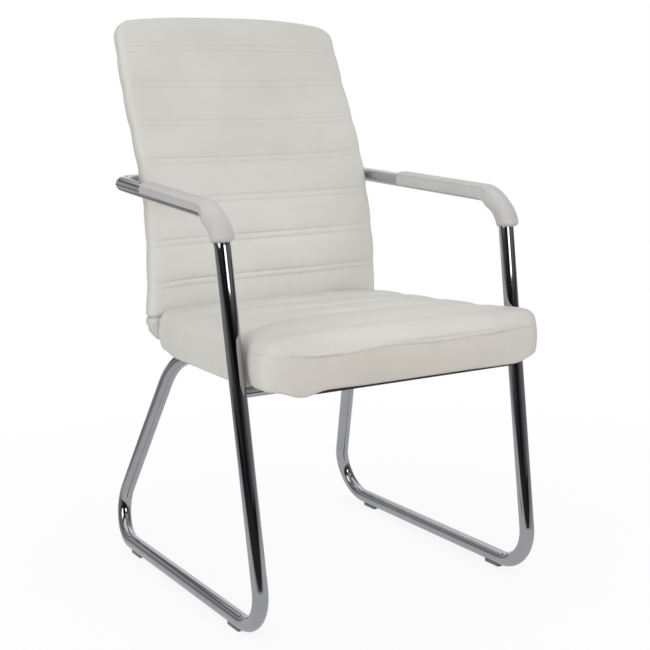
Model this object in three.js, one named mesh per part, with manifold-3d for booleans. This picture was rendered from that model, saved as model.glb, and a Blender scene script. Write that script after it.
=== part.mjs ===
// Sled base visitor chair: a bent round tube frame, a channelled seat and back, and slim arm pads.
// Millimetres, +Z up. The front faces -Y, and the origin is on the floor under the middle of the chair.
import * as THREE from "three";
import { mergeVertices } from "three/addons/utils/BufferGeometryUtils.js";
import Module from "manifold-3d";

const wasm = await Module();
wasm.setup();
const { degToRad, lerp } = THREE.MathUtils;

// Driving dimensions

const clearance = 0.3; // kept between pieces that touch
const overrun = 5; // how far a cut runs past what it cuts

const tube = { diameter: 25, wall: 2 }; // side tubes
const cross = { diameter: 16, wall: 1.5 }; // cross tubes under the seat

const side = {
  runnerSpacing: 506.6, // between the axes of the two floor runners
  runnerLength: 627.4, // between the floor corners of one side tube's axis
  frontFloorRadius: 65.5,
  rearFloorRadius: 64,
  armCornerHeight: 627.3, // the corner of front leg and arm, above the runner's axis
  legLean: 80.5, // the front leg leans back by this
  legSplay: 10.6, // and outwards by this
  armFrontRadius: 64.7,
  armLength: 457.8, // from its front corner back to the loop behind the back
  armRise: 35.5,
  armTaper: 19.7, // the arms draw together by this towards the loop
  loopRadius: 40,
  rearLegRadius: 110,
  rearCornerSetback: 94.1, // the rear leg's top corner stands this far in front of the loop
  rearLegTuck: 68.3, // and this far inside the runner
  railFrontSpacing: 300, // between the seat rails' front ends
};

const foot = {
  length: 38,
  width: 16,
  standoff: 4, // the runner's underside above the floor
  wrap: 5, // how far it reaches up round the runner
  chamfer: 2,
  frontSetback: 95.5, // its middle, from the front floor corner
  rearSetback: 131, // its middle, from the rear floor corner
  pegDiameter: 6,
  pegLength: 4,
};

const seat = {
  railTop: 389.5, // top of rails and cross tubes above the floor
  rearCrossSetback: 31, // rear cross tube, from where the rails start to bend
  overhang: 84, // cushion front, in front of the front cross tube
  legGap: 4, // cushion to front leg
  rearWidth: 448,
  frontHeight: 467, // top edge above the floor at the front
  rearHeight: 456,
  crown: 8,
  channelDepth: 3.5,
  channelPitch: 84.5,
  firstChannel: 176, // from the cushion's front
  channels: 4,
  frontCorner: 30,
  rearCorner: 34,
  edgeRoll: 16,
  lowerRoll: 8,
  frontRoll: 26, // the top rolls over the front edge
  rearTuck: 30, // the lower rear edge is rounded up by this
  sideBulge: 2,
  lipDrop: 6, // front lip, below the rails' top
  skirtDrop: 4, // side skirts, below the rails' top
  skirtRise: 2, // over the front cross tube, above the rails' top
  skirtBlend: 30,
};

const board = { thickness: 12, edgeInset: 21, frontInset: 30, rearInset: 22, corner: 20 };
const dustCover = { thickness: 1.2, rearInset: 8, hemHeight: 3, hemReach: 15, sideInset: 2 };

const back = {
  bottom: 388, // above the floor
  length: 614, // along its front face
  lowerRun: 134,
  lumbarRadius: 600,
  upperLean: 25.2, // degrees from upright
  upperRun: 73.3,
  headRadius: 200,
  headLean: 20.5, // degrees from upright
  foam: 30,
  thickness: 49.6,
  armGap: 3.4,
  bottomFlare: 8,
  topTaper: 5.5,
  topArch: 9,
  archReach: 60,
  crown: 7,
  channelDepth: 3.5,
  cornerRadius: 28,
  edgeRoll: 11,
  endRoll: 10,
  rearRoll: 30,
  bottomTuck: 34, // the lower rear edge is rounded by this
  topTuck: 22,
  sideBulge: 1.5,
  boardSideInset: 28,
  boardEndInset: 36,
};
// Heights of the back's seams, as shares of its length
const backSeamShares = [0.2, 0.313, 0.425, 0.536, 0.656, 0.782, 0.894];

const seamBand = 10; // between the two stitch lines of a seam
const rearCover = { thickness: 3 };
const bracket = { width: 40, thickness: 4, spacing: 140, bendRadius: 8, rise: 128, reach: 40 };

const screw = { diameter: 6, headDiameter: 12, headHeight: 3.5 };
const nut = { flange: 18, flangeThickness: 1.5, barrel: 8, barrelLength: 9, shortBarrel: 6 };
const crossScrewSpacing = 220;
const bracketScrewPitch = 20;
const bracketScrewInset = 12;
const backScrewPitch = 50;
const backScrewInset = 22; // below the bracket's top end
const loop = { screwSpacing: 190, spacerLength: 12.6, spacerDiameter: 20, curveSlack: 0.8 };
const cap = { wall: 1.5, height: 7 };
const spigotLength = 80;

const pad = {
  thickness: 3.8,
  startSetback: 166, // its rear end, in front of the loop
  bendShare: 0.89, // of the front bend that it covers
  openAngle: 160, // degrees of the tube that it leaves bare
};

const rounds = { tube: 16, bore: 12, small: 8, spacer: 12 }; // sides of round sections
const bendStep = degToRad(12.5);

// Sizes that follow from them

const tubeRadius = tube.diameter / 2;
const boreRadius = tubeRadius - tube.wall;
const crossRadius = cross.diameter / 2;
const runnerHeight = foot.standoff + tubeRadius;
const runnerX = side.runnerSpacing / 2;
const frontFloorY = -side.runnerLength / 2;
const rearFloorY = side.runnerLength / 2;
const armCorner = new THREE.Vector3(
  runnerX + side.legSplay,
  frontFloorY + side.legLean,
  runnerHeight + side.armCornerHeight,
);
const loopCorner = armCorner.clone();
loopCorner.x -= side.armTaper;
loopCorner.y += side.armLength;
loopCorner.z += side.armRise;
const railHeight = seat.railTop - tubeRadius;
const crossHeight = seat.railTop - crossRadius;
const rearCorner = new THREE.Vector3(
  runnerX - side.rearLegTuck,
  loopCorner.y - side.rearCornerSetback,
  railHeight,
);
const legShare = (crossHeight - runnerHeight) / side.armCornerHeight;
const frontCrossX = runnerX + side.legSplay * legShare;
const frontCrossY = frontFloorY + side.legLean * legShare;
const railFront = new THREE.Vector3(side.railFrontSpacing / 2, frontCrossY, railHeight);

// Solids and placing

const at = (x, y, z) => new THREE.Vector3(x, y, z);

function solid(geometry) {
  const bare = geometry.clone();
  bare.deleteAttribute("normal");
  bare.deleteAttribute("uv");
  const merged = mergeVertices(bare);
  const triVerts = new Uint32Array(merged.index.array);
  const vertProperties = merged.attributes.position.array;
  return new wasm.Manifold(new wasm.Mesh({ numProp: 3, vertProperties, triVerts }));
}

function geometryOf(body) {
  const mesh = body.getMesh();
  const geometry = new THREE.BufferGeometry();
  geometry.setAttribute("position", new THREE.BufferAttribute(mesh.vertProperties, 3));
  geometry.setIndex(new THREE.BufferAttribute(mesh.triVerts, 1));
  geometry.computeVertexNormals();
  return geometry;
}

function cut(geometry, ...tools) {
  return geometryOf(tools.reduce((body, tool) => body.subtract(solid(tool)), solid(geometry)));
}

// A cylinder from one point to another.
function rod(radius, from, to, sides = rounds.small) {
  const axis = to.clone().sub(from);
  const geometry = new THREE.CylinderGeometry(radius, radius, axis.length(), sides);
  geometry.translate(0, axis.length() / 2, 0);
  const turn = new THREE.Quaternion().setFromUnitVectors(at(0, 1, 0), axis.normalize());
  geometry.applyQuaternion(turn);
  return geometry.translate(from.x, from.y, from.z);
}

// The radius whose flats, not its corners, lie at the given radius.
const flatsAt = (radius, sides) => radius / Math.cos(Math.PI / sides);

function hole(radius, from, to, sides = rounds.small) {
  return rod(flatsAt(radius + clearance, sides), from, to, sides);
}

function ring(radius, sides) {
  return Array.from({ length: sides }, (unused, i) => {
    const angle = (2 * Math.PI * i) / sides;
    return new THREE.Vector2(radius * Math.cos(angle), radius * Math.sin(angle));
  });
}

function pipeSection(radius, wall) {
  const section = new THREE.Shape(ring(radius, rounds.tube));
  section.holes.push(new THREE.Path(ring(flatsAt(radius - wall, rounds.bore), rounds.bore)));
  return section;
}

function prism(points, depth) {
  const shape = new THREE.Shape(points.map(([x, y]) => new THREE.Vector2(x, y)));
  return new THREE.ExtrudeGeometry(shape, { depth, bevelEnabled: false });
}

function box(low, high) {
  const size = high.clone().sub(low);
  const middle = low.clone().add(high).multiplyScalar(1 / 2);
  return new THREE.BoxGeometry(size.x, size.y, size.z).translate(middle.x, middle.y, middle.z);
}

// A closed skin over rings of equally many points, which run round its direction of travel.
function loft(rings) {
  const count = rings[0].length;
  const points = rings.flat();
  const faces = [];
  for (let i = 0; i + 1 < rings.length; i++) {
    for (let k = 0; k < count; k++) {
      const a = i * count + k;
      const b = i * count + ((k + 1) % count);
      faces.push(a, b, b + count, a, b + count, a + count);
    }
  }
  for (const [row, first] of [[rings[0], 0], [rings.at(-1), (rings.length - 1) * count]]) {
    const middle = row.reduce((sum, p) => sum.add(p), at(0, 0, 0)).divideScalar(count);
    const centre = points.push(middle) - 1;
    for (let k = 0; k < count; k++) {
      const a = first + k;
      const b = first + ((k + 1) % count);
      faces.push(...(first === 0 ? [centre, b, a] : [centre, a, b]));
    }
  }
  const geometry = new THREE.BufferGeometry().setFromPoints(points);
  geometry.setIndex(faces);
  geometry.computeVertexNormals();
  return geometry;
}

// Axis of a bent tube, one place for each end of a straight run and for each step of a bend

class TubeAxis extends THREE.Curve {
  constructor(points, tangents, across = null) {
    super();
    this.points = points;
    this.tangents = tangents;
    this.across = across;
  }

  getUtoTmapping(u) {
    return u;
  }

  between(list, t, target) {
    const place = t * (list.length - 1);
    const i = Math.min(Math.floor(place), list.length - 2);
    return target.copy(list[i]).lerp(list[i + 1], place - i);
  }

  getPoint(t, target = new THREE.Vector3()) {
    return this.between(this.points, t, target);
  }

  getTangent(t, target = new THREE.Vector3()) {
    return this.between(this.tangents, t, target).normalize();
  }

  // With a direction across the bend, the section keeps square to it.
  computeFrenetFrames(steps, closed) {
    if (!this.across) return super.computeFrenetFrames(steps, closed);
    const frames = { tangents: [], normals: [], binormals: [] };
    for (let i = 0; i <= steps; i++) {
      const tangent = this.getTangent(i / steps);
      frames.tangents.push(tangent);
      frames.normals.push(this.across.clone());
      frames.binormals.push(tangent.clone().cross(this.across));
    }
    return frames;
  }
}

// The places of one bend, up to a share of it.
function bendAt(before, corner, after, radius, share = 1) {
  const incoming = corner.clone().sub(before).normalize();
  const outgoing = after.clone().sub(corner).normalize();
  const turn = incoming.angleTo(outgoing);
  const hinge = incoming.clone().cross(outgoing).normalize();
  const inward = hinge.clone().cross(incoming);
  const start = corner.clone().addScaledVector(incoming, -radius * Math.tan(turn / 2));
  const centre = start.clone().addScaledVector(inward, radius);
  const steps = Math.ceil((turn * share) / bendStep);
  const points = [];
  const tangents = [];
  for (let i = 0; i <= steps; i++) {
    const angle = (turn * share * i) / steps;
    const spoke = inward.clone().negate().applyAxisAngle(hinge, angle);
    points.push(centre.clone().addScaledVector(spoke, radius));
    tangents.push(incoming.clone().applyAxisAngle(hinge, angle));
  }
  return { points, tangents, hinge };
}

function bentAxis(corners, radii) {
  const points = [corners[0]];
  const tangents = [corners[1].clone().sub(corners[0]).normalize()];
  radii.forEach((radius, i) => {
    const bend = bendAt(corners[i], corners[i + 1], corners[i + 2], radius);
    points.push(...bend.points);
    tangents.push(...bend.tangents);
  });
  points.push(corners.at(-1));
  tangents.push(corners.at(-1).clone().sub(corners.at(-2)).normalize());
  return new TubeAxis(points, tangents);
}

function sweep(section, axis) {
  const steps = axis.points.length - 1;
  return new THREE.ExtrudeGeometry(section, { steps, extrudePath: axis });
}

// Materials

const finish = (color, roughness, metalness) =>
  new THREE.MeshStandardMaterial({ color, roughness, metalness });
const chrome = finish(0xc4c6c9, 0.08, 1);
const leatherette = finish(0xcfcec9, 0.5, 0);
const plywood = finish(0xc2a073, 0.7, 0);
const steel = finish(0x8d9094, 0.4, 1);
const blackSteel = finish(0x2a2b2c, 0.5, 0.8);
const darkPlastic = finish(0x45463f, 0.55, 0);
const blackFelt = finish(0x1b1b1c, 0.95, 0);

const chair = new THREE.Group();

function add(name, geometry, material) {
  const mesh = new THREE.Mesh(geometry, material);
  mesh.name = name;
  chair.add(mesh);
  return mesh;
}

const sides = [
  ["left", 1],
  ["right", -1],
];
const mirrored = (point, s) => at(point.x * s, point.y, point.z);

// The curve of the back's front face, which leans back above a straight lower run

const upperLean = degToRad(back.upperLean);
const headLean = degToRad(back.headLean);
const backRuns = [
  { length: back.lowerRun, turn: 0 },
  { length: back.lumbarRadius * upperLean, turn: upperLean },
  { length: back.upperRun, turn: 0 },
  { length: back.headRadius * (upperLean - headLean), turn: headLean - upperLean },
  { length: back.length, turn: 0 },
];

// Place and lean of the front face at a distance along it, from its lower end.
function backCurve(distance) {
  let y = 0;
  let z = 0;
  let lean = 0;
  let left = distance;
  for (const run of backRuns) {
    const length = Math.min(left, run.length);
    const turned = (run.turn * length) / run.length;
    if (turned === 0) {
      y += length * Math.sin(lean);
      z += length * Math.cos(lean);
    } else {
      const radius = run.length / run.turn;
      y += radius * (Math.cos(lean) - Math.cos(lean + turned));
      z += radius * (Math.sin(lean + turned) - Math.sin(lean));
      lean += turned;
    }
    left -= length;
    if (left <= 0) break;
  }
  return { y, z, lean };
}

// The loop's axis lies square behind the front face, by the back, the spacer and the tube's radius.
const loopDepth = back.thickness + loop.spacerLength + tubeRadius;

function distanceAtLoop() {
  let low = 0;
  let high = back.length;
  while (high - low > clearance / rounds.tube) {
    const middle = (low + high) / 2;
    const { z, lean } = backCurve(middle);
    if (back.bottom + z - loopDepth * Math.sin(lean) < loopCorner.z) low = middle;
    else high = middle;
  }
  return low;
}

const loopDistance = distanceAtLoop();
const loopPlace = backCurve(loopDistance);
const backFrontY = loopCorner.y - loopPlace.y - loopDepth * Math.cos(loopPlace.lean);

function backPoint(distance, x, depth) {
  const { y, z, lean } = backCurve(distance);
  return at(
    x,
    backFrontY + y + depth * Math.cos(lean),
    back.bottom + z - depth * Math.sin(lean),
  );
}

function backHalfWidth(distance) {
  const atLoop = loopCorner.x - tubeRadius - back.armGap;
  if (distance < loopDistance) return atLoop + back.bottomFlare * (1 - distance / loopDistance);
  return atLoop - (back.topTaper * (distance - loopDistance)) / (back.length - loopDistance);
}

// Frame tubes

function sideAxis(s) {
  const corners = [
    railFront,
    rearCorner,
    at(runnerX, rearFloorY, runnerHeight),
    at(runnerX, frontFloorY, runnerHeight),
    armCorner,
    loopCorner,
    at(clearance / 2, loopCorner.y, loopCorner.z),
  ];
  const radii = [
    side.rearLegRadius,
    side.rearFloorRadius,
    side.frontFloorRadius,
    side.armFrontRadius,
    side.loopRadius,
  ];
  return bentAxis(corners.map((corner) => mirrored(corner, s)), radii);
}

const footYs = [
  ["front", frontFloorY + foot.frontSetback],
  ["rear", rearFloorY - foot.rearSetback],
];
const railBend = bendAt(railFront, rearCorner, at(runnerX, rearFloorY, runnerHeight), side.rearLegRadius);
const rearCrossY = railBend.points[0].y - seat.rearCrossSetback;
const railSlope = (rearCorner.x - railFront.x) / (rearCorner.y - railFront.y);
const rearCrossX = railFront.x + railSlope * (rearCrossY - railFront.y);

// Points on a loop screw's axis, at depths behind the back's front face.
const loopScrewPoint = (s, depth) => backPoint(loopDistance, (s * loop.screwSpacing) / 2, depth);

function sideTube(s) {
  const pegHoles = footYs.map(([end, y]) =>
    hole(foot.pegDiameter / 2, at(s * runnerX, y, 0), at(s * runnerX, y, runnerHeight)),
  );
  const mouth = rod(
    flatsAt(crossRadius + clearance, rounds.tube),
    at(s * (railFront.x - tube.diameter), frontCrossY, crossHeight),
    at(s * (railFront.x + tube.diameter), frontCrossY, crossHeight),
    rounds.tube,
  );
  const screwHole = hole(
    screw.diameter / 2,
    loopScrewPoint(s, loopDepth - tube.diameter),
    loopScrewPoint(s, loopDepth + tube.diameter),
  );
  return cut(sweep(pipeSection(tubeRadius, tube.wall), sideAxis(s)), ...pegHoles, mouth, screwHole);
}

// A tube straight across, saddled at both ends against the tube that it meets.
function crossTube(halfLength, y, saddleFrom, saddleTo) {
  const axis = new TubeAxis(
    [at(-halfLength, y, crossHeight), at(halfLength, y, crossHeight)],
    [at(1, 0, 0), at(1, 0, 0)],
  );
  const saddles = sides.map(([name, s]) =>
    rod(
      flatsAt(tubeRadius + clearance, rounds.tube),
      mirrored(saddleFrom, s),
      mirrored(saddleTo, s),
      rounds.tube,
    ),
  );
  const screwHoles = sides.map(([name, s]) =>
    hole(
      screw.diameter / 2,
      at((s * crossScrewSpacing) / 2, y, crossHeight - cross.diameter),
      at((s * crossScrewSpacing) / 2, y, crossHeight + cross.diameter),
    ),
  );
  return cut(sweep(pipeSection(crossRadius, cross.wall), axis), ...saddles, ...screwHoles);
}

function buildFrame() {
  for (const [name, s] of sides) add(`${name}_side_tube`, sideTube(s), chrome);
  const legFoot = at(runnerX, frontFloorY, runnerHeight);
  add("front_cross_tube", crossTube(frontCrossX, frontCrossY, legFoot, armCorner), chrome);
  add("rear_cross_tube", crossTube(rearCrossX, rearCrossY, railFront, rearCorner), blackSteel);
  const spigotEnd = at(spigotLength / 2, loopCorner.y, loopCorner.z);
  const spigot = rod(boreRadius - clearance, mirrored(spigotEnd, -1), spigotEnd, rounds.bore);
  add("back_loop_spigot", spigot, steel);
}

// Feet

function glide() {
  const half = foot.length / 2;
  const top = foot.standoff + foot.wrap;
  const profile = [
    [-half + foot.chamfer, 0],
    [half - foot.chamfer, 0],
    [half, foot.chamfer],
    [half, top],
    [-half, top],
    [-half, foot.chamfer],
  ];
  const body = prism(profile, foot.width);
  body.rotateX(Math.PI / 2).rotateZ(Math.PI / 2);
  body.translate(-foot.width / 2, 0, 0);
  const saddle = rod(
    flatsAt(tubeRadius + clearance, rounds.tube),
    at(0, -foot.length, runnerHeight),
    at(0, foot.length, runnerHeight),
    rounds.tube,
  );
  const peg = rod(
    foot.pegDiameter / 2,
    at(0, 0, foot.standoff / 2),
    at(0, 0, foot.standoff + foot.pegLength),
  );
  return geometryOf(solid(body).subtract(solid(saddle)).add(solid(peg)));
}

function buildFeet() {
  for (const [end, y] of footYs) {
    for (const [name, s] of sides) {
      add(`${end}_${name}_foot`, glide(), darkPlastic).position.set(s * runnerX, y, 0);
    }
  }
}

// Arm pads

const padOuter = tubeRadius + clearance + pad.thickness;
const padSteps = 9; // of its section, round the tube

function padSection() {
  const bare = degToRad(pad.openAngle) / 2;
  const start = -Math.PI / 2 + bare;
  const sweepAngle = 2 * Math.PI - 2 * bare;
  const along = (radius, i) => {
    const angle = start + (sweepAngle * i) / padSteps;
    return new THREE.Vector2(radius * Math.cos(angle), radius * Math.sin(angle));
  };
  const outer = Array.from({ length: padSteps + 1 }, (unused, i) => along(padOuter, i));
  const innerRadius = (tubeRadius + clearance) / Math.cos(sweepAngle / padSteps / 2);
  const inner = outer.map((unused, i) => along(innerRadius, padSteps - i));
  return new THREE.Shape([...outer, ...inner]);
}

function armPad(s) {
  const corner = mirrored(armCorner, s);
  const rear = mirrored(loopCorner, s);
  const share = pad.startSetback / side.armLength;
  const start = rear.clone().lerp(corner, share);
  const leg = at(s * runnerX, frontFloorY, runnerHeight);
  const bend = bendAt(start, corner, leg, side.armFrontRadius, pad.bendShare);
  const points = [start, ...bend.points];
  const tangents = [bend.tangents[0], ...bend.tangents];
  const across = bend.hinge.clone().multiplyScalar(Math.sign(bend.hinge.x));
  return sweep(padSection(), new TubeAxis(points, tangents, across));
}

function buildArmPads() {
  for (const [name, s] of sides) add(`${name}_arm_pad`, armPad(s), leatherette);
}

// Section of a padded slab: a crowned face, rolled edges and full sides.
// Its points run from the middle of the face round one side to the rear and back up the other.
const faceShares = [0.35, 0.65, 0.88];
const rollShare = 0.29; // of the roll, where its middle point stands off the corner

function padRing(slab, place) {
  const { half, face, rear, crown, valley, bulge } = slab;
  const roll = Math.min(slab.roll, (rear - face) / 2);
  const rearRoll = Math.min(slab.rearRoll, (rear - face) / 2);
  const flat = half - roll;
  const crownAt = (x) => face - crown * (1 - (x / half) ** 2);
  const right = [
    ...faceShares.map((share) => [flat * share, crownAt(flat * share) + valley]),
    [flat, crownAt(flat) + valley / 2],
    [half - roll * rollShare, face + roll * rollShare],
    [half, face + roll],
    [half + bulge, (face + rear) / 2],
    [half, rear - rearRoll],
    [half - rearRoll * rollShare, rear - rearRoll * rollShare],
    [half - rearRoll, rear],
  ];
  const left = right.map(([x, depth]) => [-x, depth]).reverse();
  const outline = [[0, face - crown + valley], ...right, [0, rear], ...left];
  return outline.map(([x, depth]) => place(x, depth));
}

// How far a rounded end stands in from the full size, at a distance from that end.
function endInset(distance, radius) {
  if (distance >= radius) return 0;
  return radius - Math.sqrt(radius ** 2 - (radius - distance) ** 2);
}

// Stations along a channelled slab: its rounded ends, both stitch lines of each seam, and the pillows.
const endShares = [0, 0.12, 0.4, 0.75];
const pillowShares = [0.2, 0.8];

function slabStations(length, firstRadius, lastRadius, seams, extra = []) {
  const lines = [0, ...seams, length];
  const pillows = lines.slice(1).flatMap((line, i) =>
    pillowShares.map((share) => lerp(lines[i], line, share)),
  );
  const inner = [...seams.flatMap((seam) => [seam - seamBand / 2, seam + seamBand / 2]), ...pillows];
  const ends = [
    ...endShares.map((share) => firstRadius * share),
    ...endShares.map((share) => length - lastRadius * share),
  ];
  const body = inner.filter((d) => d > firstRadius && d < length - lastRadius);
  return [...new Set([...ends, ...body, ...extra])].sort((a, b) => a - b);
}

const nearSeam = (distance, seams) => seams.some((seam) => Math.abs(distance - seam) < seamBand);

// Seat

const seatFront = frontCrossY - seat.overhang;
const seatRear = backFrontY - back.crown - 2 * clearance;
const seatLength = seatRear - seatFront;
const seatFrontHalf = frontCrossX - tubeRadius - seat.legGap;
const boardBottom = seat.railTop + 2 * clearance + dustCover.thickness;
const boardTop = boardBottom + board.thickness;
const boardFront = seatFront + board.frontInset;
const boardRear = seatRear - board.rearInset;
const seatSeams = Array.from(
  { length: seat.channels },
  (unused, i) => seat.firstChannel + i * seat.channelPitch,
).filter((seam) => seam < seatLength - seat.rearCorner);

// The sides are parallel up to the front legs, then draw in towards the back.
function seatHalfWidth(y) {
  const share = Math.max(0, (y - frontCrossY) / (seatRear - frontCrossY));
  return lerp(seatFrontHalf, seat.rearWidth / 2, share);
}

// Height of the lower edge: a deep front lip, skirts at the sides, clear of the tubes that cross them.
function seatUnderside(y) {
  const profile = [
    [seatFront, seat.railTop - seat.lipDrop],
    [boardFront, seat.railTop - seat.lipDrop],
    [frontCrossY - crossRadius - overrun, seat.railTop + seat.skirtRise],
    [frontCrossY + crossRadius + overrun, seat.railTop + seat.skirtRise],
    [frontCrossY + crossRadius + overrun + seat.skirtBlend, seat.railTop - seat.skirtDrop],
    [boardRear - seat.skirtBlend, seat.railTop - seat.skirtDrop],
    [boardRear, boardBottom + clearance],
    [seatRear, boardBottom + clearance],
  ];
  const i = profile.findIndex(([place]) => place >= y);
  if (i <= 0) return profile[0][1];
  const [before, after] = [profile[i - 1], profile[i]];
  return lerp(before[1], after[1], (y - before[0]) / (after[0] - before[0]));
}

function seatCushionForm() {
  const turns = [
    boardFront,
    frontCrossY - crossRadius - overrun,
    frontCrossY + crossRadius + overrun,
    frontCrossY + crossRadius + overrun + seat.skirtBlend,
    boardRear - seat.skirtBlend,
    boardRear,
    seatFront + seat.frontRoll,
  ].map((y) => y - seatFront);
  const places = slabStations(seatLength, seat.frontCorner, seat.rearCorner, seatSeams, turns);
  return loft(
    places.map((distance) => {
      const y = seatFront + distance;
      const fromRear = seatLength - distance;
      const corner = endInset(distance, seat.frontCorner) + endInset(fromRear, seat.rearCorner);
      const upperInset = endInset(distance, seat.frontRoll) + endInset(fromRear, seat.edgeRoll);
      const lowerInset = endInset(distance, seat.lowerRoll) + endInset(fromRear, seat.rearTuck);
      const top = lerp(seat.frontHeight, seat.rearHeight, distance / seatLength);
      const slab = {
        half: seatHalfWidth(y) - corner,
        face: upperInset,
        rear: top - seatUnderside(y) - lowerInset,
        crown: seat.crown * Math.min(1, distance / seat.frontRoll, fromRear / seat.edgeRoll),
        valley: nearSeam(distance, seatSeams) ? seat.channelDepth : 0,
        roll: seat.edgeRoll,
        rearRoll: seat.lowerRoll,
        bulge: seat.sideBulge,
      };
      return padRing(slab, (x, depth) => at(x, y, top - depth));
    }),
  );
}

// Plan of the seat board, grown by a margin.
function boardPlan(margin) {
  const frontHalf = seatHalfWidth(boardFront) - board.edgeInset + margin;
  const rearHalf = seatHalfWidth(boardRear) - board.edgeInset + margin;
  const [front, rear] = [boardFront - margin, boardRear + margin];
  const bevel = board.corner;
  return [
    [-frontHalf + bevel, front],
    [frontHalf - bevel, front],
    [frontHalf, front + bevel],
    [rearHalf, rear - bevel],
    [rearHalf - bevel, rear],
    [-rearHalf + bevel, rear],
    [-rearHalf, rear - bevel],
    [-frontHalf, front + bevel],
  ];
}

const crossScrews = sides.flatMap(([name, s]) => [
  [`front_${name}`, (s * crossScrewSpacing) / 2, frontCrossY],
  [`rear_${name}`, (s * crossScrewSpacing) / 2, rearCrossY],
]);
const bracketFront = boardRear - bracket.reach;
const bracketScrews = sides.flatMap(([name, s]) => [
  [`${name}_front`, (s * bracket.spacing) / 2, boardRear - bracketScrewInset - bracketScrewPitch],
  [`${name}_rear`, (s * bracket.spacing) / 2, boardRear - bracketScrewInset],
]);

// A hole for a tee nut's barrel, with a recess for its flange.
function nutSeat(from, to, flangeFrom, flangeTo) {
  return [hole(nut.barrel / 2, from, to), hole(nut.flange / 2, flangeFrom, flangeTo)];
}

function seatBoard() {
  const plate = prism(boardPlan(0), board.thickness).translate(0, 0, boardBottom);
  const recess = boardTop - nut.flangeThickness - clearance;
  const seats = [...crossScrews, ...bracketScrews].flatMap(([name, x, y]) =>
    nutSeat(
      at(x, y, boardBottom - overrun),
      at(x, y, boardTop + overrun),
      at(x, y, recess),
      at(x, y, boardTop + overrun),
    ),
  );
  return cut(plate, ...seats);
}

function seatCushion() {
  const depth = boardTop + clearance - (seat.railTop - seat.lipDrop) + overrun;
  const pocket = prism(boardPlan(clearance), depth);
  pocket.translate(0, 0, boardTop + clearance - depth);
  return cut(seatCushionForm(), pocket);
}

// Felt under the board, drawn down behind the front lip and folded into a hem under it.
function dustCoverSheet() {
  const half = seatHalfWidth(boardRear) - board.edgeInset - dustCover.sideInset;
  const low = seat.railTop + clearance;
  const high = low + dustCover.thickness;
  const webFront = boardFront + clearance;
  const webRear = webFront + dustCover.thickness;
  const hemTop = seat.railTop - seat.lipDrop - clearance;
  const hemLow = hemTop - dustCover.hemHeight;
  const rear = bracketFront - dustCover.rearInset;
  const profile = [
    [rear, low],
    [rear, high],
    [webFront, high],
    [webFront, hemTop],
    [webFront - dustCover.hemReach, hemTop],
    [webFront - dustCover.hemReach, hemLow],
    [webRear, hemLow],
    [webRear, low],
  ];
  const sheet = prism(profile, 2 * half);
  sheet.rotateX(Math.PI / 2).rotateZ(Math.PI / 2);
  sheet.translate(-half, 0, 0);
  const holes = crossScrews.map(([name, x, y]) =>
    hole(screw.diameter / 2, at(x, y, low - overrun), at(x, y, high + overrun)),
  );
  return cut(sheet, ...holes);
}

// Fasteners, turned on Y with the head or the open end at the bottom

function screwShape(length) {
  const profile = [
    [0, 0],
    [screw.headDiameter / 2, 0],
    [screw.headDiameter / 2, screw.headHeight],
    [screw.diameter / 2, screw.headHeight],
    [screw.diameter / 2, screw.headHeight + length],
    [0, screw.headHeight + length],
  ].map(([x, y]) => new THREE.Vector2(x, y));
  return new THREE.LatheGeometry(profile, rounds.small);
}

function nutShape(barrelLength) {
  const bore = flatsAt(screw.diameter / 2 + clearance, rounds.small);
  const profile = [
    [bore, 0],
    [nut.barrel / 2, 0],
    [nut.barrel / 2, barrelLength],
    [nut.flange / 2, barrelLength],
    [nut.flange / 2, barrelLength + nut.flangeThickness],
    [bore, barrelLength + nut.flangeThickness],
    [bore, 0],
  ].map(([x, y]) => new THREE.Vector2(x, y));
  return new THREE.LatheGeometry(profile, rounds.small);
}

// Stands a piece turned on Y at a point, along a direction.
function stand(mesh, point, direction) {
  mesh.position.copy(point);
  mesh.quaternion.setFromUnitVectors(at(0, 1, 0), direction);
}

const up = at(0, 0, 1);
const forward = at(0, -1, 0);

function screwAndNut(name, x, y, seatHeight) {
  const length = boardTop - nut.flangeThickness - seatHeight;
  const bolt = add(`${name}_bolt`, screwShape(length), steel);
  stand(bolt, at(x, y, seatHeight - clearance - screw.headHeight), up);
  const tee = add(`${name}_tee_nut`, nutShape(nut.barrelLength), steel);
  stand(tee, at(x, y, boardTop - nut.flangeThickness - nut.barrelLength), up);
}

function buildSeat() {
  add("seat_cushion", seatCushion(), leatherette);
  add("seat_board", seatBoard(), plywood);
  add("seat_dust_cover", dustCoverSheet(), blackFelt);
  for (const [name, x, y] of crossScrews) {
    screwAndNut(`seat_${name}`, x, y, seat.railTop - cross.diameter);
  }
}

// Angle brackets from the seat board to the back board

const bracketTop = boardBottom - clearance;
const bracketLow = bracketTop - bracket.thickness;
const grooveDepth = back.foam + board.thickness - bracket.thickness; // from the front face
const bracketFace = backFrontY + grooveDepth;

// Side view of the flat bar, grown by a margin.
function bracketProfile(margin) {
  const { thickness, bendRadius, rise } = bracket;
  const outer = new THREE.Shape();
  const rearY = bracketFace + thickness + margin;
  const lowZ = bracketLow - margin;
  const topZ = bracketLow + rise + margin;
  const inner = bendRadius - thickness - margin;
  outer.moveTo(bracketFront - margin, lowZ);
  outer.lineTo(rearY - bendRadius - margin, lowZ);
  outer.absarc(rearY - bendRadius, lowZ + bendRadius, bendRadius, -Math.PI / 2, 0, false);
  outer.lineTo(rearY, topZ);
  outer.lineTo(bracketFace - margin, topZ);
  outer.lineTo(bracketFace - margin, lowZ + bendRadius);
  outer.absarc(rearY - bendRadius, lowZ + bendRadius, inner - margin, 0, -Math.PI / 2, true);
  outer.lineTo(bracketFront - margin, bracketTop + margin);
  return outer;
}

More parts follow.
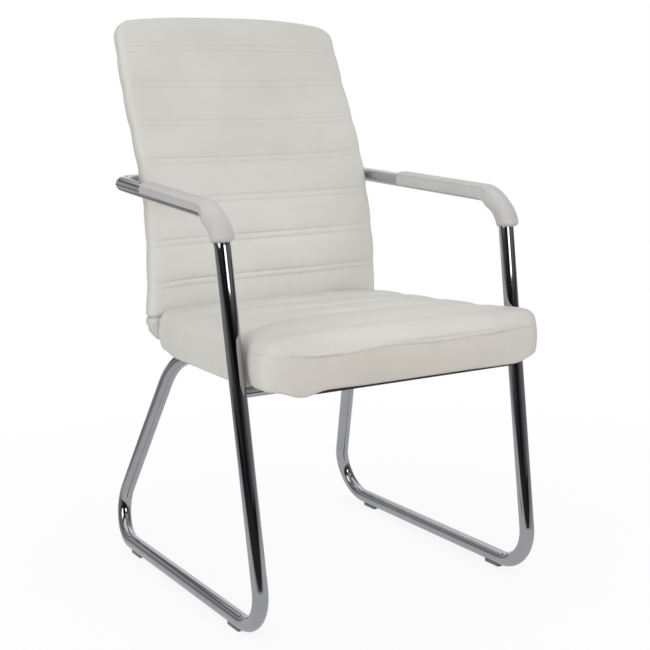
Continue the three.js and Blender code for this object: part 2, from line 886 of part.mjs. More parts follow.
function bracketBar(s, margin = 0) {
  const width = bracket.width + 2 * margin;
  const bar = new THREE.ExtrudeGeometry(bracketProfile(margin), {
    depth: width,
    bevelEnabled: false,
    curveSegments: 4,
  });
  bar.rotateX(Math.PI / 2).rotateZ(Math.PI / 2);
  return bar.translate((s * bracket.spacing) / 2 - width / 2, 0, 0);
}

const backScrewHeights = [0, 1].map(
  (i) => bracketLow + bracket.rise - backScrewInset - i * backScrewPitch,
);
const bracketRear = bracketFace + bracket.thickness;

function bracketPlate(s) {
  const x = (s * bracket.spacing) / 2;
  const seatHoles = bracketScrews.map(([name, screwX, y]) =>
    hole(screw.diameter / 2, at(screwX, y, bracketLow - overrun), at(screwX, y, bracketTop + overrun)),
  );
  const backHoles = backScrewHeights.map((z) =>
    hole(screw.diameter / 2, at(x, bracketFace - overrun, z), at(x, bracketRear + overrun, z)),
  );
  return cut(bracketBar(s), ...seatHoles, ...backHoles);
}

function buildBrackets() {
  for (const [name, s] of sides) add(`${name}_back_bracket`, bracketPlate(s), blackSteel);
  for (const [name, x, y] of bracketScrews) screwAndNut(`bracket_${name}`, x, y, bracketLow);
  const boardFace = backFrontY + back.foam;
  for (const [name, s] of sides) {
    const x = (s * bracket.spacing) / 2;
    backScrewHeights.forEach((z, i) => {
      const level = i === 0 ? "upper" : "lower";
      const length = bracketRear - boardFace - nut.flangeThickness;
      const bolt = add(`back_${name}_${level}_bolt`, screwShape(length), steel);
      stand(bolt, at(x, bracketRear + clearance + screw.headHeight, z), forward);
      const tee = add(`back_${name}_${level}_tee_nut`, nutShape(nut.shortBarrel), steel);
      stand(tee, at(x, boardFace + nut.flangeThickness + nut.shortBarrel, z), forward);
    });
  }
}

// Back

const backSeams = backSeamShares.map((share) => share * back.length);

function backCushionForm() {
  const turns = [back.bottomTuck, back.length - back.topTuck];
  const places = slabStations(back.length, back.cornerRadius, back.cornerRadius, backSeams, turns);
  return loft(
    places.map((distance) => {
      const fromTop = back.length - distance;
      const corner = endInset(distance, back.cornerRadius) + endInset(fromTop, back.cornerRadius);
      const face = endInset(distance, back.endRoll) + endInset(fromTop, back.endRoll);
      const tuck = endInset(distance, back.bottomTuck) + endInset(fromTop, back.topTuck);
      const half = backHalfWidth(distance) - corner;
      const arch = back.topArch * Math.max(0, 1 - fromTop / back.archReach);
      const slab = {
        half,
        face,
        rear: back.thickness - tuck,
        crown: back.crown * Math.min(1, distance / back.cornerRadius, fromTop / back.cornerRadius),
        valley: nearSeam(distance, backSeams) ? back.channelDepth : 0,
        roll: back.edgeRoll,
        rearRoll: back.rearRoll,
        bulge: back.sideBulge,
      };
      return padRing(slab, (x, depth) => backPoint(distance - arch * (x / half) ** 2, x, depth));
    }),
  );
}

// A sheet that follows the back's curve, between two depths behind its front face.
const sheetSteps = 14;

function backSheet(near, far, margin = 0) {
  const low = back.boardEndInset - margin;
  const high = back.length - back.boardEndInset + margin;
  return loft(
    Array.from({ length: sheetSteps + 1 }, (unused, i) => {
      const distance = lerp(low, high, i / sheetSteps);
      const half = backHalfWidth(distance) - back.boardSideInset + margin;
      return [
        backPoint(distance, -half, near),
        backPoint(distance, half, near),
        backPoint(distance, half, far),
        backPoint(distance, -half, far),
      ];
    }),
  );
}

const boardFarDepth = back.foam + board.thickness;
const loopNutDepth = back.foam + loop.curveSlack; // its flat flange lies in the curved face

function backBoard() {
  const grooves = sides.map(([name, s]) => {
    const x = (s * bracket.spacing) / 2;
    const half = bracket.width / 2 + clearance;
    return box(
      at(x - half, bracketFace - clearance, back.bottom),
      at(x + half, bracketRear + overrun, bracketLow + bracket.rise + clearance),
    );
  });
  const boardFace = backFrontY + back.foam;
  const recess = boardFace + nut.flangeThickness + clearance;
  const seats = sides.flatMap(([name, s]) =>
    backScrewHeights.flatMap((z) => {
      const x = (s * bracket.spacing) / 2;
      return nutSeat(
        at(x, boardFace - overrun, z),
        at(x, bracketRear + overrun, z),
        at(x, boardFace - overrun, z),
        at(x, recess, z),
      );
    }),
  );
  const loopSeats = sides.flatMap(([name, s]) =>
    nutSeat(
      loopScrewPoint(s, back.foam - overrun),
      loopScrewPoint(s, boardFarDepth + overrun),
      loopScrewPoint(s, back.foam - overrun),
      loopScrewPoint(s, loopNutDepth + nut.flangeThickness + clearance),
    ),
  );
  return cut(backSheet(back.foam, boardFarDepth), ...grooves, ...seats, ...loopSeats);
}

function backCushion() {
  const pocket = backSheet(back.foam - clearance, back.thickness + overrun, clearance);
  const slots = sides.map(([name, s]) => bracketBar(s, clearance));
  return cut(backCushionForm(), pocket, ...slots);
}

function backRearCover() {
  const holes = sides.map(([name, s]) =>
    hole(
      loop.spacerDiameter / 2,
      loopScrewPoint(s, boardFarDepth),
      loopScrewPoint(s, back.thickness + overrun),
      rounds.spacer,
    ),
  );
  return cut(backSheet(back.thickness - rearCover.thickness, back.thickness), ...holes);
}

function loopSaddle() {
  return rod(
    flatsAt(tubeRadius + clearance, rounds.tube),
    at(-loopCorner.x, loopCorner.y, loopCorner.z),
    loopCorner,
    rounds.tube,
  );
}

// A bush between the back board and the loop tube, saddled at the tube.
function loopSpacer(s) {
  const body = rod(
    loop.spacerDiameter / 2,
    loopScrewPoint(s, boardFarDepth + loop.curveSlack),
    loopScrewPoint(s, loopDepth),
    rounds.spacer,
  );
  const bore = hole(
    screw.diameter / 2,
    loopScrewPoint(s, boardFarDepth - overrun),
    loopScrewPoint(s, loopDepth + tubeRadius),
  );
  return cut(body, loopSaddle(), bore);
}

// A cup over the screw's head, saddled at the tube.
function loopCap(s) {
  const inner = screw.headDiameter / 2;
  const rim = loopDepth + tubeRadius / 2;
  const end = loopDepth + tubeRadius + cap.height;
  const body = rod(inner + clearance + cap.wall, loopScrewPoint(s, rim), loopScrewPoint(s, end));
  const hollow = hole(inner, loopScrewPoint(s, loopDepth), loopScrewPoint(s, end - cap.wall));
  return cut(body, loopSaddle(), hollow);
}

function buildBack() {
  add("back_cushion", backCushion(), leatherette);
  add("back_board", backBoard(), plywood);
  add("back_rear_cover", backRearCover(), leatherette);
  const into = at(0, -Math.cos(loopPlace.lean), Math.sin(loopPlace.lean));
  const headSeat = loopDepth + tubeRadius + clearance;
  for (const [name, s] of sides) {
    add(`${name}_loop_spacer`, loopSpacer(s), darkPlastic);
    add(`${name}_loop_cap`, loopCap(s), darkPlastic);
    const length = headSeat - loopNutDepth - nut.flangeThickness;
    const bolt = add(`${name}_loop_bolt`, screwShape(length), steel);
    stand(bolt, loopScrewPoint(s, headSeat + screw.headHeight), into);
    const tee = add(`${name}_loop_tee_nut`, nutShape(nut.barrelLength), steel);
    stand(tee, loopScrewPoint(s, loopNutDepth + nut.flangeThickness + nut.barrelLength), into);
  }
}

buildFrame();
buildFeet();
buildArmPads();
buildSeat();
buildBrackets();
buildBack();

// The origin goes to the floor under the middle of the chair.
const bounds = new THREE.Box3().setFromObject(chair);
const middle = bounds.getCenter(at(0, 0, 0));
chair.position.set(-middle.x, -middle.y, -bounds.min.z);

export default chair;
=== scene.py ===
"""Sled base visitor chair: chromed tube frame, channelled leatherette seat and back, slim arm pads."""

import math

import bpy
import numpy as np
from mathutils import Matrix, Vector, noise


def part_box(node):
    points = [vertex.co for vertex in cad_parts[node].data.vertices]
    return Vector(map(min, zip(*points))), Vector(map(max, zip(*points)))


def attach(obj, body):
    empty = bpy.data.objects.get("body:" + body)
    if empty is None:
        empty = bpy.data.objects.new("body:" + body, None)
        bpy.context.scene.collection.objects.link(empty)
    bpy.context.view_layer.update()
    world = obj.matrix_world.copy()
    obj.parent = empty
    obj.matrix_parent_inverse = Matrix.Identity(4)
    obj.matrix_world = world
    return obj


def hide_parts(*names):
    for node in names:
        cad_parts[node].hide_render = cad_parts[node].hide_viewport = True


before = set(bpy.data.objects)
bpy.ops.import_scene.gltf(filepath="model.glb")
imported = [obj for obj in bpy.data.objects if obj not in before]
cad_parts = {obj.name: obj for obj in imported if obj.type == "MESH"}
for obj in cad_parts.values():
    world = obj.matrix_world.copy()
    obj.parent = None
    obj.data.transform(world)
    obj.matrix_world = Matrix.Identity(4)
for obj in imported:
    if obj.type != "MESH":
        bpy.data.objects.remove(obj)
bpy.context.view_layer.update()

MM = 0.001
scene = bpy.context.scene

# Sizes of the chair in millimetres. y runs back from the middle of the runners, z up from the floor.

ROW_Y = 23.116  # the middle of the runners lies this far behind the origin

TUBE = 25.0
CROSS_TUBE = 16.0
TUBE_WALL = 2.0
RUNNER_X, RUNNER_Z = 253.3, 16.5
FLOOR_Y = 313.7
ARM_CORNER = (263.9, -233.2, 643.8)
LOOP_CORNER = (244.2, 224.6, 679.3)
REAR_CORNER = (185.0, 130.5, 377.0)
RAIL_FRONT = (150.0, -266.86, 377.0)
CROSS_FRONT = (259.47, -266.86, 381.5)
BEND_RADII = (110.0, 64.0, 65.5, 64.7, 40.0)


def at(x, y, z):
    """A point of the chair, in metres, in the row's frame."""
    return Vector((x, y + ROW_Y, z)) * MM


# Camera

camera_data = bpy.data.cameras.new("camera")
camera = bpy.data.objects.new("camera", camera_data)
scene.collection.objects.link(camera)
scene.camera = camera
camera_data.sensor_width = 36.0
camera_data.lens = 68.335
camera_data.clip_end = 50.0

CAMERA_YAW, CAMERA_PITCH, CAMERA_ROLL = (math.radians(a) for a in (30.22, 9.03, -1.47))


def place_camera():
    ahead = Vector((
        math.sin(CAMERA_YAW) * math.cos(CAMERA_PITCH),
        math.cos(CAMERA_YAW) * math.cos(CAMERA_PITCH),
        -math.sin(CAMERA_PITCH),
    ))
    level = Vector((math.cos(CAMERA_YAW), -math.sin(CAMERA_YAW), 0))
    above = level.cross(ahead)
    right = math.cos(CAMERA_ROLL) * level + math.sin(CAMERA_ROLL) * above
    up = math.cos(CAMERA_ROLL) * above - math.sin(CAMERA_ROLL) * level
    turn = Matrix((right, up, -ahead)).transposed().to_4x4()
    camera.matrix_world = Matrix.Translation(at(-1043.94, -1872.25, 764.0)) @ turn


place_camera()


# Materials


def linear(code):
    """An sRGB hex colour as linear RGBA."""
    parts = [int(code[i:i + 2], 16) / 255 for i in (1, 3, 5)]
    return [c / 12.92 if c <= 0.04045 else ((c + 0.055) / 1.055) ** 2.4 for c in parts] + [1.0]


def add(tree, kind, settings=None, links=None):
    """Adds a node, with its settings and what its inputs are linked to or set to."""
    node = tree.nodes.new(kind)
    for name, value in (settings or {}).items():
        setattr(node, name, value)
    for name, value in (links or {}).items():
        socket = node.inputs[name]
        if isinstance(value, bpy.types.NodeSocket):
            tree.links.new(value, socket)
        else:
            socket.default_value = value
    return node


def material(name):
    """A new material with a Principled shader, its tree and that shader."""
    made = bpy.data.materials.new(name)
    made.use_nodes = True
    tree = made.node_tree
    tree.nodes.clear()
    shader = add(tree, "ShaderNodeBsdfPrincipled")
    add(tree, "ShaderNodeOutputMaterial", links={"Surface": shader.outputs["BSDF"]})
    return made, tree, shader


def object_coordinates(tree):
    return add(tree, "ShaderNodeTexCoord").outputs["Object"]


def noise_at(tree, millimetres, detail=2.0, coordinates=None):
    """A noise whose blotches are about that many millimetres across."""
    vector = coordinates or object_coordinates(tree)
    links = {"Vector": vector, "Scale": 1 / (millimetres * MM), "Detail": detail}
    return add(tree, "ShaderNodeTexNoise", links=links).outputs["Fac"]


def ramp(tree, value, stops):
    """A colour ramp over a value, from (place, colour) stops."""
    node = add(tree, "ShaderNodeValToRGB", links={"Fac": value})
    elements = node.color_ramp.elements
    elements[0].position, elements[0].color = stops[0]
    elements[1].position, elements[1].color = stops[-1]
    for place, colour in stops[1:-1]:
        element = elements.new(place)
        element.color = colour
    return node.outputs["Color"]


def spread(tree, value, low, high):
    """A 0 to 1 value mapped between two limits."""
    links = {"Value": value, "To Min": low, "To Max": high}
    return add(tree, "ShaderNodeMapRange", links=links).outputs["Result"]


def bump(tree, height, millimetres, strength=1.0, normal=None):
    links = {"Height": height, "Distance": millimetres * MM, "Strength": strength}
    if normal is not None:
        links["Normal"] = normal
    return add(tree, "ShaderNodeBump", links=links).outputs["Normal"]


def chromium_plate():
    # Bright chromium on polished steel tube: a hard, almost neutral mirror with a trace of polishing haze.
    made, tree, shader = material("chromium_plated_steel")
    haze = noise_at(tree, 30.0, 3.0)
    tint = ramp(tree, haze, [(0.3, linear("#B5B6B9")), (0.7, linear("#BDBDBF"))])
    tree.links.new(tint, shader.inputs["Base Color"])
    tree.links.new(spread(tree, haze, 0.035, 0.06), shader.inputs["Roughness"])
    shader.inputs["Metallic"].default_value = 1.0
    return made


def leatherette(name, light, dark, boxing, grain_mm=1.9):
    # Coated synthetic leather: satin, with a fine pebble grain. The real grain is about 0.8 mm across,
    # which is too fine to show, so it is drawn coarser.
    made, tree, shader = material(name)
    place = object_coordinates(tree)
    cloud = noise_at(tree, 120.0, 3.0, place)
    tint = ramp(tree, cloud, [(0.32, linear(dark)), (0.68, linear(light))])
    # Painted shade: a point attribute darkens the cover towards #A8A49B along stitch lines, seams, folds and beside
    # the front legs.
    crease_shade = add(tree, "ShaderNodeAttribute", {"attribute_name": "crease_shade"}).outputs["Fac"]
    shaded = add(tree, "ShaderNodeMix", {"data_type": "RGBA", "blend_type": "MULTIPLY"},
                 {"Factor": spread(tree, crease_shade, 0.0, 0.3), 6: tint, 7: linear("#A8A49B")})
    # A point attribute multiplies in the fourth colour. On the seat front it gives a slightly warmer boxing panel
    # with painted shade, on the arm pads painted shade on the side panels, and on the sides of the seat and back a
    # little toning.
    tone_and_shade = add(tree, "ShaderNodeAttribute", {"attribute_name": "tone_and_shade"}).outputs["Fac"]
    warmed_and_shaded = add(tree, "ShaderNodeMix", {"data_type": "RGBA", "blend_type": "MULTIPLY"},
                 {"Factor": tone_and_shade, 6: shaded.outputs[2], 7: linear(boxing)})
    tree.links.new(warmed_and_shaded.outputs[2], shader.inputs["Base Color"])
    pebble = add(tree, "ShaderNodeTexVoronoi", {"feature": "DISTANCE_TO_EDGE"},
                 {"Vector": place, "Scale": 1 / (grain_mm * MM)}).outputs["Distance"]
    fine = noise_at(tree, 3.5, 3.0, place)
    soft = bump(tree, fine, 0.12, 0.6)
    grained = bump(tree, pebble, 0.1, 0.35, soft)
    tree.links.new(grained, shader.inputs["Normal"])
    varied = noise_at(tree, 45.0, 4.0, place)
    tree.links.new(spread(tree, varied, 0.44, 0.56), shader.inputs["Roughness"])
    shader.inputs["Coat Weight"].default_value = 0.08
    shader.inputs["Coat Roughness"].default_value = 0.35
    shader.inputs["IOR"].default_value = 1.48
    return made


def birch_plywood():
    # Bare birch plywood: pale yellow-brown faces with long grain, darker glue lines on the edges.
    made, tree, shader = material("birch_plywood")
    place = object_coordinates(tree)
    stretched = add(tree, "ShaderNodeMapping", links={"Vector": place, "Scale": (1.0, 0.12, 1.0)}).outputs["Vector"]
    grain = noise_at(tree, 6.0, 6.0, stretched)
    face = ramp(tree, grain, [(0.3, linear("#B08A5C")), (0.7, linear("#CDAE80"))])
    tree.links.new(face, shader.inputs["Base Color"])
    tree.links.new(bump(tree, grain, 0.2, 0.4), shader.inputs["Normal"])
    tree.links.new(spread(tree, grain, 0.6, 0.75), shader.inputs["Roughness"])
    return made


def zinc_plate():
    # Zinc plated fasteners: pale grey metal with faint crystalline patches.
    made, tree, shader = material("zinc_plated_steel")
    patches = add(tree, "ShaderNodeTexVoronoi", links={"Vector": object_coordinates(tree), "Scale": 700.0})
    grey = add(tree, "ShaderNodeRGBToBW", links={"Color": patches.outputs["Color"]}).outputs["Val"]
    tint = ramp(tree, grey, [(0.0, linear("#8E9296")), (1.0, linear("#B4B7B8"))])
    tree.links.new(tint, shader.inputs["Base Color"])
    tree.links.new(spread(tree, grey, 0.28, 0.42), shader.inputs["Roughness"])
    shader.inputs["Metallic"].default_value = 1.0
    return made


def black_powder_coat():
    # Satin black powder coat over steel: an even, slightly pebbled paint skin.
    made, tree, shader = material("black_powder_coat")
    skin = noise_at(tree, 1.6, 2.0)
    tint = ramp(tree, noise_at(tree, 60.0), [(0.3, linear("#1B1B1C")), (0.7, linear("#242425"))])
    tree.links.new(tint, shader.inputs["Base Color"])
    tree.links.new(bump(tree, skin, 0.08, 0.5), shader.inputs["Normal"])
    tree.links.new(spread(tree, skin, 0.38, 0.5), shader.inputs["Roughness"])
    return made


def moulded_plastic(name, dark, light):
    # Moulded polypropylene with a fine spark-eroded texture, satin rather than glossy.
    made, tree, shader = material(name)
    spark = noise_at(tree, 0.9, 3.0)
    tint = ramp(tree, noise_at(tree, 12.0), [(0.3, linear(dark)), (0.7, linear(light))])
    tree.links.new(tint, shader.inputs["Base Color"])
    tree.links.new(bump(tree, spark, 0.06, 0.6), shader.inputs["Normal"])
    tree.links.new(spread(tree, spark, 0.5, 0.62), shader.inputs["Roughness"])
    return made


def spunbond_felt():
    # Black spunbond dust cover: matt, with a fine embossed dot pattern and loose fibres.
    made, tree, shader = material("spunbond_felt")
    place = object_coordinates(tree)
    dots = add(tree, "ShaderNodeTexVoronoi",
               links={"Vector": place, "Scale": 1 / (1.6 * MM), "Randomness": 0.15}).outputs["Distance"]
    tint = ramp(tree, dots, [(0.1, linear("#161617")), (0.6, linear("#28282A"))])
    tree.links.new(tint, shader.inputs["Base Color"])
    tree.links.new(bump(tree, dots, 0.15, 0.7), shader.inputs["Normal"])
    shader.inputs["Roughness"].default_value = 0.92
    shader.inputs["Sheen Weight"].default_value = 0.25
    return made


CHROME = chromium_plate()
HIDE = leatherette("off_white_leatherette", "#D2D1CB", "#CCCBC5", "#E3DCD7")
PAD_HIDE = leatherette("arm_pad_leatherette", "#C5C4C1", "#BFBEBC", "#EAE6EA", 1.6)
PLYWOOD = birch_plywood()
ZINC = zinc_plate()
BLACK_STEEL = black_powder_coat()
PLASTIC = moulded_plastic("black_moulded_polypropylene", "#232325", "#2C2C2E")
GLIDE = moulded_plastic("grey_moulded_polypropylene", "#6C6D6E", "#77787A")
FELT = spunbond_felt()

# Hand tools


def deselect():
    if bpy.context.object and bpy.context.object.mode != "OBJECT":
        bpy.ops.object.mode_set(mode="OBJECT")
    bpy.ops.object.select_all(action="DESELECT")


def activate(piece):
    deselect()
    piece.select_set(True)
    bpy.context.view_layer.objects.active = piece


def settle(name, smooth_degrees=None):
    """Names the active object and puts its place into its mesh."""
    piece = bpy.context.object
    piece.name = piece.data.name = name
    bpy.ops.object.transform_apply(location=True, rotation=True, scale=True)
    if smooth_degrees is not None:
        bpy.ops.object.shade_smooth_by_angle(angle=math.radians(smooth_degrees))
    return piece


def apply_modifier(piece, kind, **settings):
    activate(piece)
    modifier = piece.modifiers.new(kind.lower(), kind)
    for name, value in settings.items():
        setattr(modifier, name, value)
    bpy.ops.object.modifier_apply(modifier=modifier.name)


def outward(piece):
    """Merges doubles and turns all faces outwards."""
    activate(piece)
    bpy.ops.object.mode_set(mode="EDIT")
    bpy.ops.mesh.select_all(action="SELECT")
    bpy.ops.mesh.remove_doubles(threshold=0.00001)
    bpy.ops.mesh.normals_make_consistent(inside=False)
    bpy.ops.object.mode_set(mode="OBJECT")


def finish(piece, surface, slot, *nodes):
    """Gives a piece its material and its body, and hides the model's parts that it stands for. Its slot is not used.
    """
    piece.data.materials.clear()
    piece.data.materials.append(surface)
    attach(piece, "root")
    if nodes:
        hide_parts(*nodes)
    return piece


def mirrored(piece, name):
    """A copy with its own mesh, mirrored left to right."""
    twin = piece.copy()
    twin.data = piece.data.copy()
    twin.name = twin.data.name = name
    scene.collection.objects.link(twin)
    activate(twin)
    bpy.ops.object.mode_set(mode="EDIT")
    bpy.ops.mesh.select_all(action="SELECT")
    bpy.ops.transform.resize(value=(-1, 1, 1), center_override=(0, 0, 0))
    bpy.ops.mesh.normals_make_consistent(inside=False)
    bpy.ops.object.mode_set(mode="OBJECT")
    return twin


# Frame tubes


def bent_tube(name, corners, radii, diameter, sides=40):
    """A ring drawn along each straight and spun round each bend, then given its wall."""
    corners = [Vector(c) for c in corners]
    heading = (corners[1] - corners[0]).normalized()
    deselect()
    bpy.ops.mesh.primitive_circle_add(
        vertices=sides, radius=diameter / 2 * MM, location=corners[0],
        rotation=heading.to_track_quat("Z", "Y").to_euler(),
    )
    bpy.ops.object.transform_apply(location=True, rotation=True, scale=True)
    bpy.ops.object.mode_set(mode="EDIT")
    bpy.ops.mesh.select_all(action="SELECT")
    place = corners[0]
    for before, corner, after, radius in zip(corners, corners[1:], corners[2:], radii):
        incoming = (corner - before).normalized()
        outgoing = (after - corner).normalized()
        angle = incoming.angle(outgoing)
        setback = radius * MM * math.tan(angle / 2)
        start = corner - incoming * setback
        hinge = incoming.cross(outgoing).normalized()
        bpy.ops.mesh.extrude_region_move(TRANSFORM_OT_translate={"value": start - place})
        bpy.ops.mesh.spin(
            steps=math.ceil(angle / math.radians(3)), angle=angle,
            center=start + hinge.cross(incoming) * radius * MM, axis=-hinge,
        )
        place = corner + outgoing * setback
    bpy.ops.mesh.extrude_region_move(TRANSFORM_OT_translate={"value": corners[-1] - place})
    bpy.ops.object.mode_set(mode="OBJECT")
    tube = settle(name)
    outward(tube)
    apply_modifier(tube, "SOLIDIFY", thickness=TUBE_WALL * MM, offset=-1)
    activate(tube)
    bpy.ops.object.shade_smooth_by_angle(angle=math.radians(40))
    return tube


def side_corners():
    return [
        at(*RAIL_FRONT), at(*REAR_CORNER), at(RUNNER_X, FLOOR_Y, RUNNER_Z), at(RUNNER_X, -FLOOR_Y, RUNNER_Z),
        at(*ARM_CORNER), at(*LOOP_CORNER), at(0.15, *LOOP_CORNER[1:]),
    ]


left_tube = bent_tube("left_side_tube_chromed", side_corners(), BEND_RADII, TUBE)
right_tube = mirrored(left_tube, "right_side_tube_chromed")
finish(left_tube, CHROME, "chromed_tube", "left_side_tube")
finish(right_tube, CHROME, "chromed_tube", "right_side_tube")


def rear_cross_place():
    low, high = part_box("rear_cross_tube")
    return high.x / MM, (low.y + high.y) / 2 / MM - ROW_Y


rear_half, rear_cross_y = rear_cross_place()
cross_z = CROSS_FRONT[2]
front_cross = bent_tube(
    "front_cross_tube_chromed",
    [at(-CROSS_FRONT[0] + 10, CROSS_FRONT[1], cross_z), at(CROSS_FRONT[0] - 10, CROSS_FRONT[1], cross_z)],
    [], CROSS_TUBE, 32,
)
finish(front_cross, CHROME, "chromed_tube", "front_cross_tube")
rear_cross = bent_tube(
    "rear_cross_tube_coated",
    [at(-rear_half, rear_cross_y, cross_z), at(rear_half, rear_cross_y, cross_z)], [], CROSS_TUBE, 32,
)
finish(rear_cross, BLACK_STEEL, "black_steel", "rear_cross_tube")


# Feet


def foot(name, node):
    """A glide moulded as a rounded block, saddled on the runner."""
    low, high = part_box(node)
    middle = (low + high) / 2
    top = (RUNNER_Z - 8.0) * MM
    deselect()
    bpy.ops.mesh.primitive_cube_add(size=1, location=(middle.x, middle.y, top / 2))
    bpy.context.object.scale = (high.x - low.x, high.y - low.y, top)
    glide = settle(name)
    apply_modifier(glide, "BEVEL", width=1.8 * MM, segments=3, limit_method="ANGLE")
    deselect()
    bpy.ops.mesh.primitive_cylinder_add(
        vertices=64, radius=(TUBE / 2 + 0.15) * MM, depth=0.1,
        location=(middle.x, middle.y, RUNNER_Z * MM), rotation=(math.pi / 2, 0, 0),
    )
    saddle = settle("saddle_cutter")
    apply_modifier(glide, "BOOLEAN", operation="DIFFERENCE", object=saddle, solver="EXACT")
    bpy.data.objects.remove(saddle)
    activate(glide)
    bpy.ops.object.shade_smooth_by_angle(angle=math.radians(40))
    return finish(glide, GLIDE, "dark_plastic", node)


for end in ("front", "rear"):
    for hand in ("left", "right"):
        foot(f"{end}_{hand}_foot_moulded", f"{end}_{hand}_foot")


# Padded pieces are built as the skin of a block of cells, whose points are then laid on the cushion's form.


def block_skin(counts):
    """Cell corners on the skin of a block, and its outward faces, from the number of corners each way."""
    nx, ny, nz = counts
    number = {}
    corners = []
    faces = []

    def corner(i, j, k):
        key = (i, j, k)
        if key not in number:
            number[key] = len(corners)
            corners.append(key)
        return number[key]

    def side(first, second, point, flip):
        for a in range(first - 1):
            for b in range(second - 1):
                ring = [corner(*point(*c)) for c in ((a, b), (a + 1, b), (a + 1, b + 1), (a, b + 1))]
                faces.append(ring[::-1] if flip else ring)

    side(nx, ny, lambda a, b: (a, b, nz - 1), False)
    side(nx, ny, lambda a, b: (a, b, 0), True)
    side(nx, nz, lambda a, b: (a, 0, b), False)
    side(nx, nz, lambda a, b: (a, ny - 1, b), True)
    side(ny, nz, lambda a, b: (0, a, b), True)
    side(ny, nz, lambda a, b: (nx - 1, a, b), False)
    return np.array(corners), faces


def smoothstep(value):
    value = np.clip(value, 0, 1)
    return value * value * (3 - 2 * value)


def lines_across(length, seams, step, fine=(0.0, 0.8, 2.2, 4.4), ends=()):
    """Places of cell lines from 0 to a length: close together at seams and rolled ends, else a step apart."""
    fixed = {0.0, float(length)}
    for seam in seams:
        for gap in fine:
            fixed.update((seam - gap, seam + gap))
    fixed.update(ends)
    fixed = sorted(f for f in fixed if 0 <= f <= length)
    kept = [fixed[0]]
    for place in fixed[1:-1] + [float(length)]:
        start = kept[-1]
        gap = place - start
        if gap < 0.35:
            continue
        pieces = max(1, round(gap / step))
        kept.extend(start + gap * (i + 1) / pieces for i in range(pieces))
    return np.array(kept)


def roll_steps(radius, count=6):
    """Distances from an edge that share out a quarter circle evenly."""
    return [radius * (1 - math.cos(math.pi / 2 * i / count)) for i in range(1, count + 1)]


def wander(points, size, seed):
    """Smooth noise between about -1 and 1, with humps of a size, at points in millimetres."""
    shift = Vector((seed * 17.3, seed * 5.1, seed * 9.7))
    return np.array([noise.noise(Vector(p) / size + shift) for p in points])


def mesh_piece(name, points, faces):
    data = bpy.data.meshes.new(name)
    data.from_pydata([tuple(p) for p in points], [], faces)
    data.update()
    piece = bpy.data.objects.new(name, data)
    scene.collection.objects.link(piece)
    for face in data.polygons:
        face.use_smooth = True
    return piece


def pillow(t, power):
    """Height of a padded panel between two stitch lines, 0 at both and 1 between."""
    return 1 - np.abs(2 * np.clip(t, 0, 1) - 1) ** power


def channels(distance, seams, band, height, band_height, ends):
    """Height of the padding along a slab: full pillows between seams, low bands between a seam's two lines."""
    lines = sorted(line for seam in seams for line in (seam - band / 2, seam + band / 2))
    edges = [ends[0]] + lines + [ends[1]]
    raised = np.zeros_like(distance)
    for i, (low, high) in enumerate(zip(edges, edges[1:])):
        inside = (distance >= low) & (distance <= high)
        share = (distance[inside] - low) / (high - low)
        raised[inside] = band_height * pillow(share, 2.0) if i % 2 else height * pillow(share, 3.2)
    return raised


def near_lines(distance, lines, strengths, reach):
    """A line's strength on a stitch line, falling to 0 at a distance from it."""
    gap = np.abs(distance[:, None] - np.array(lines)[None, :])
    return np.max(np.clip(1 - gap / reach, 0, 1) * np.array(strengths)[None, :], axis=1)


def lay_slab(across, distance, form):
    """Lays block points on a padded slab with rounded corners in plan and rolled edges above and below."""
    length = form["length"]
    half = form["half"](distance)
    x = across * half
    y = distance - length / 2
    corner = np.where(y < 0, form["front_corner"], form["rear_corner"])
    middle_x, middle_y = half - corner, length / 2 - corner  # where the rounded corners start
    ax = np.abs(x) - middle_x
    ay = np.abs(y) - middle_y
    inside = (ax > 0) & (ay > 0)
    reach = np.maximum(np.hypot(ax, ay), 1e-9)
    scale = np.where(inside, np.maximum(ax, ay) / reach, 1.0)
    x = np.where(inside, np.sign(x) * (middle_x + ax * scale), x)
    y = np.where(inside, np.sign(y) * (middle_y + ay * scale), y)
    bx = np.abs(x) - middle_x
    by = np.abs(y) - middle_y
    out = np.hypot(np.maximum(bx, 0), np.maximum(by, 0))
    edge = corner - out - np.minimum(np.maximum(bx, by), 0)
    edge = np.maximum(edge, 0)
    # the way outwards in plan
    wx = np.where(out > 1e-6, np.maximum(bx, 0), (bx > by).astype(float))
    wy = np.where(out > 1e-6, np.maximum(by, 0), (bx <= by).astype(float))
    norm = np.maximum(np.hypot(wx, wy), 1e-9)
    wx, wy = np.sign(x) * wx / norm, np.sign(y) * wy / norm
    return x, y + length / 2, edge, wx, wy


def fall(edge, roll):
    """How far a surface lies below its full height, at a distance in from a rolled edge."""
    gap = np.clip(1 - edge / np.maximum(roll, 1e-6), 0, 1)
    return roll * (1 - np.sqrt(np.maximum(1 - gap * gap, 0)))


def wrinkles(x, row, lines, seed):
    """Slack in the cover: broad, low waves, and short puckers that start at the stitch lines."""
    broad = wander(np.stack([x, row * 1.8, 0 * x], axis=1), 70.0, seed)
    short = wander(np.stack([x, row * 0.12, 0 * x], axis=1), 15.0, seed + 3)
    near = np.min(np.abs(row[:, None] - np.array(lines)[None, :]), axis=1)
    return 0.45 * broad + 0.5 * short * np.exp(-near / 9.0) * smoothstep(near / 3.0)


def mark_points(piece, name, values):
    """Stores a number per point, for materials to read."""
    mark = piece.data.attributes.new(name, "FLOAT", "POINT")
    mark.data.foreach_set("value", np.asarray(values, np.float32))


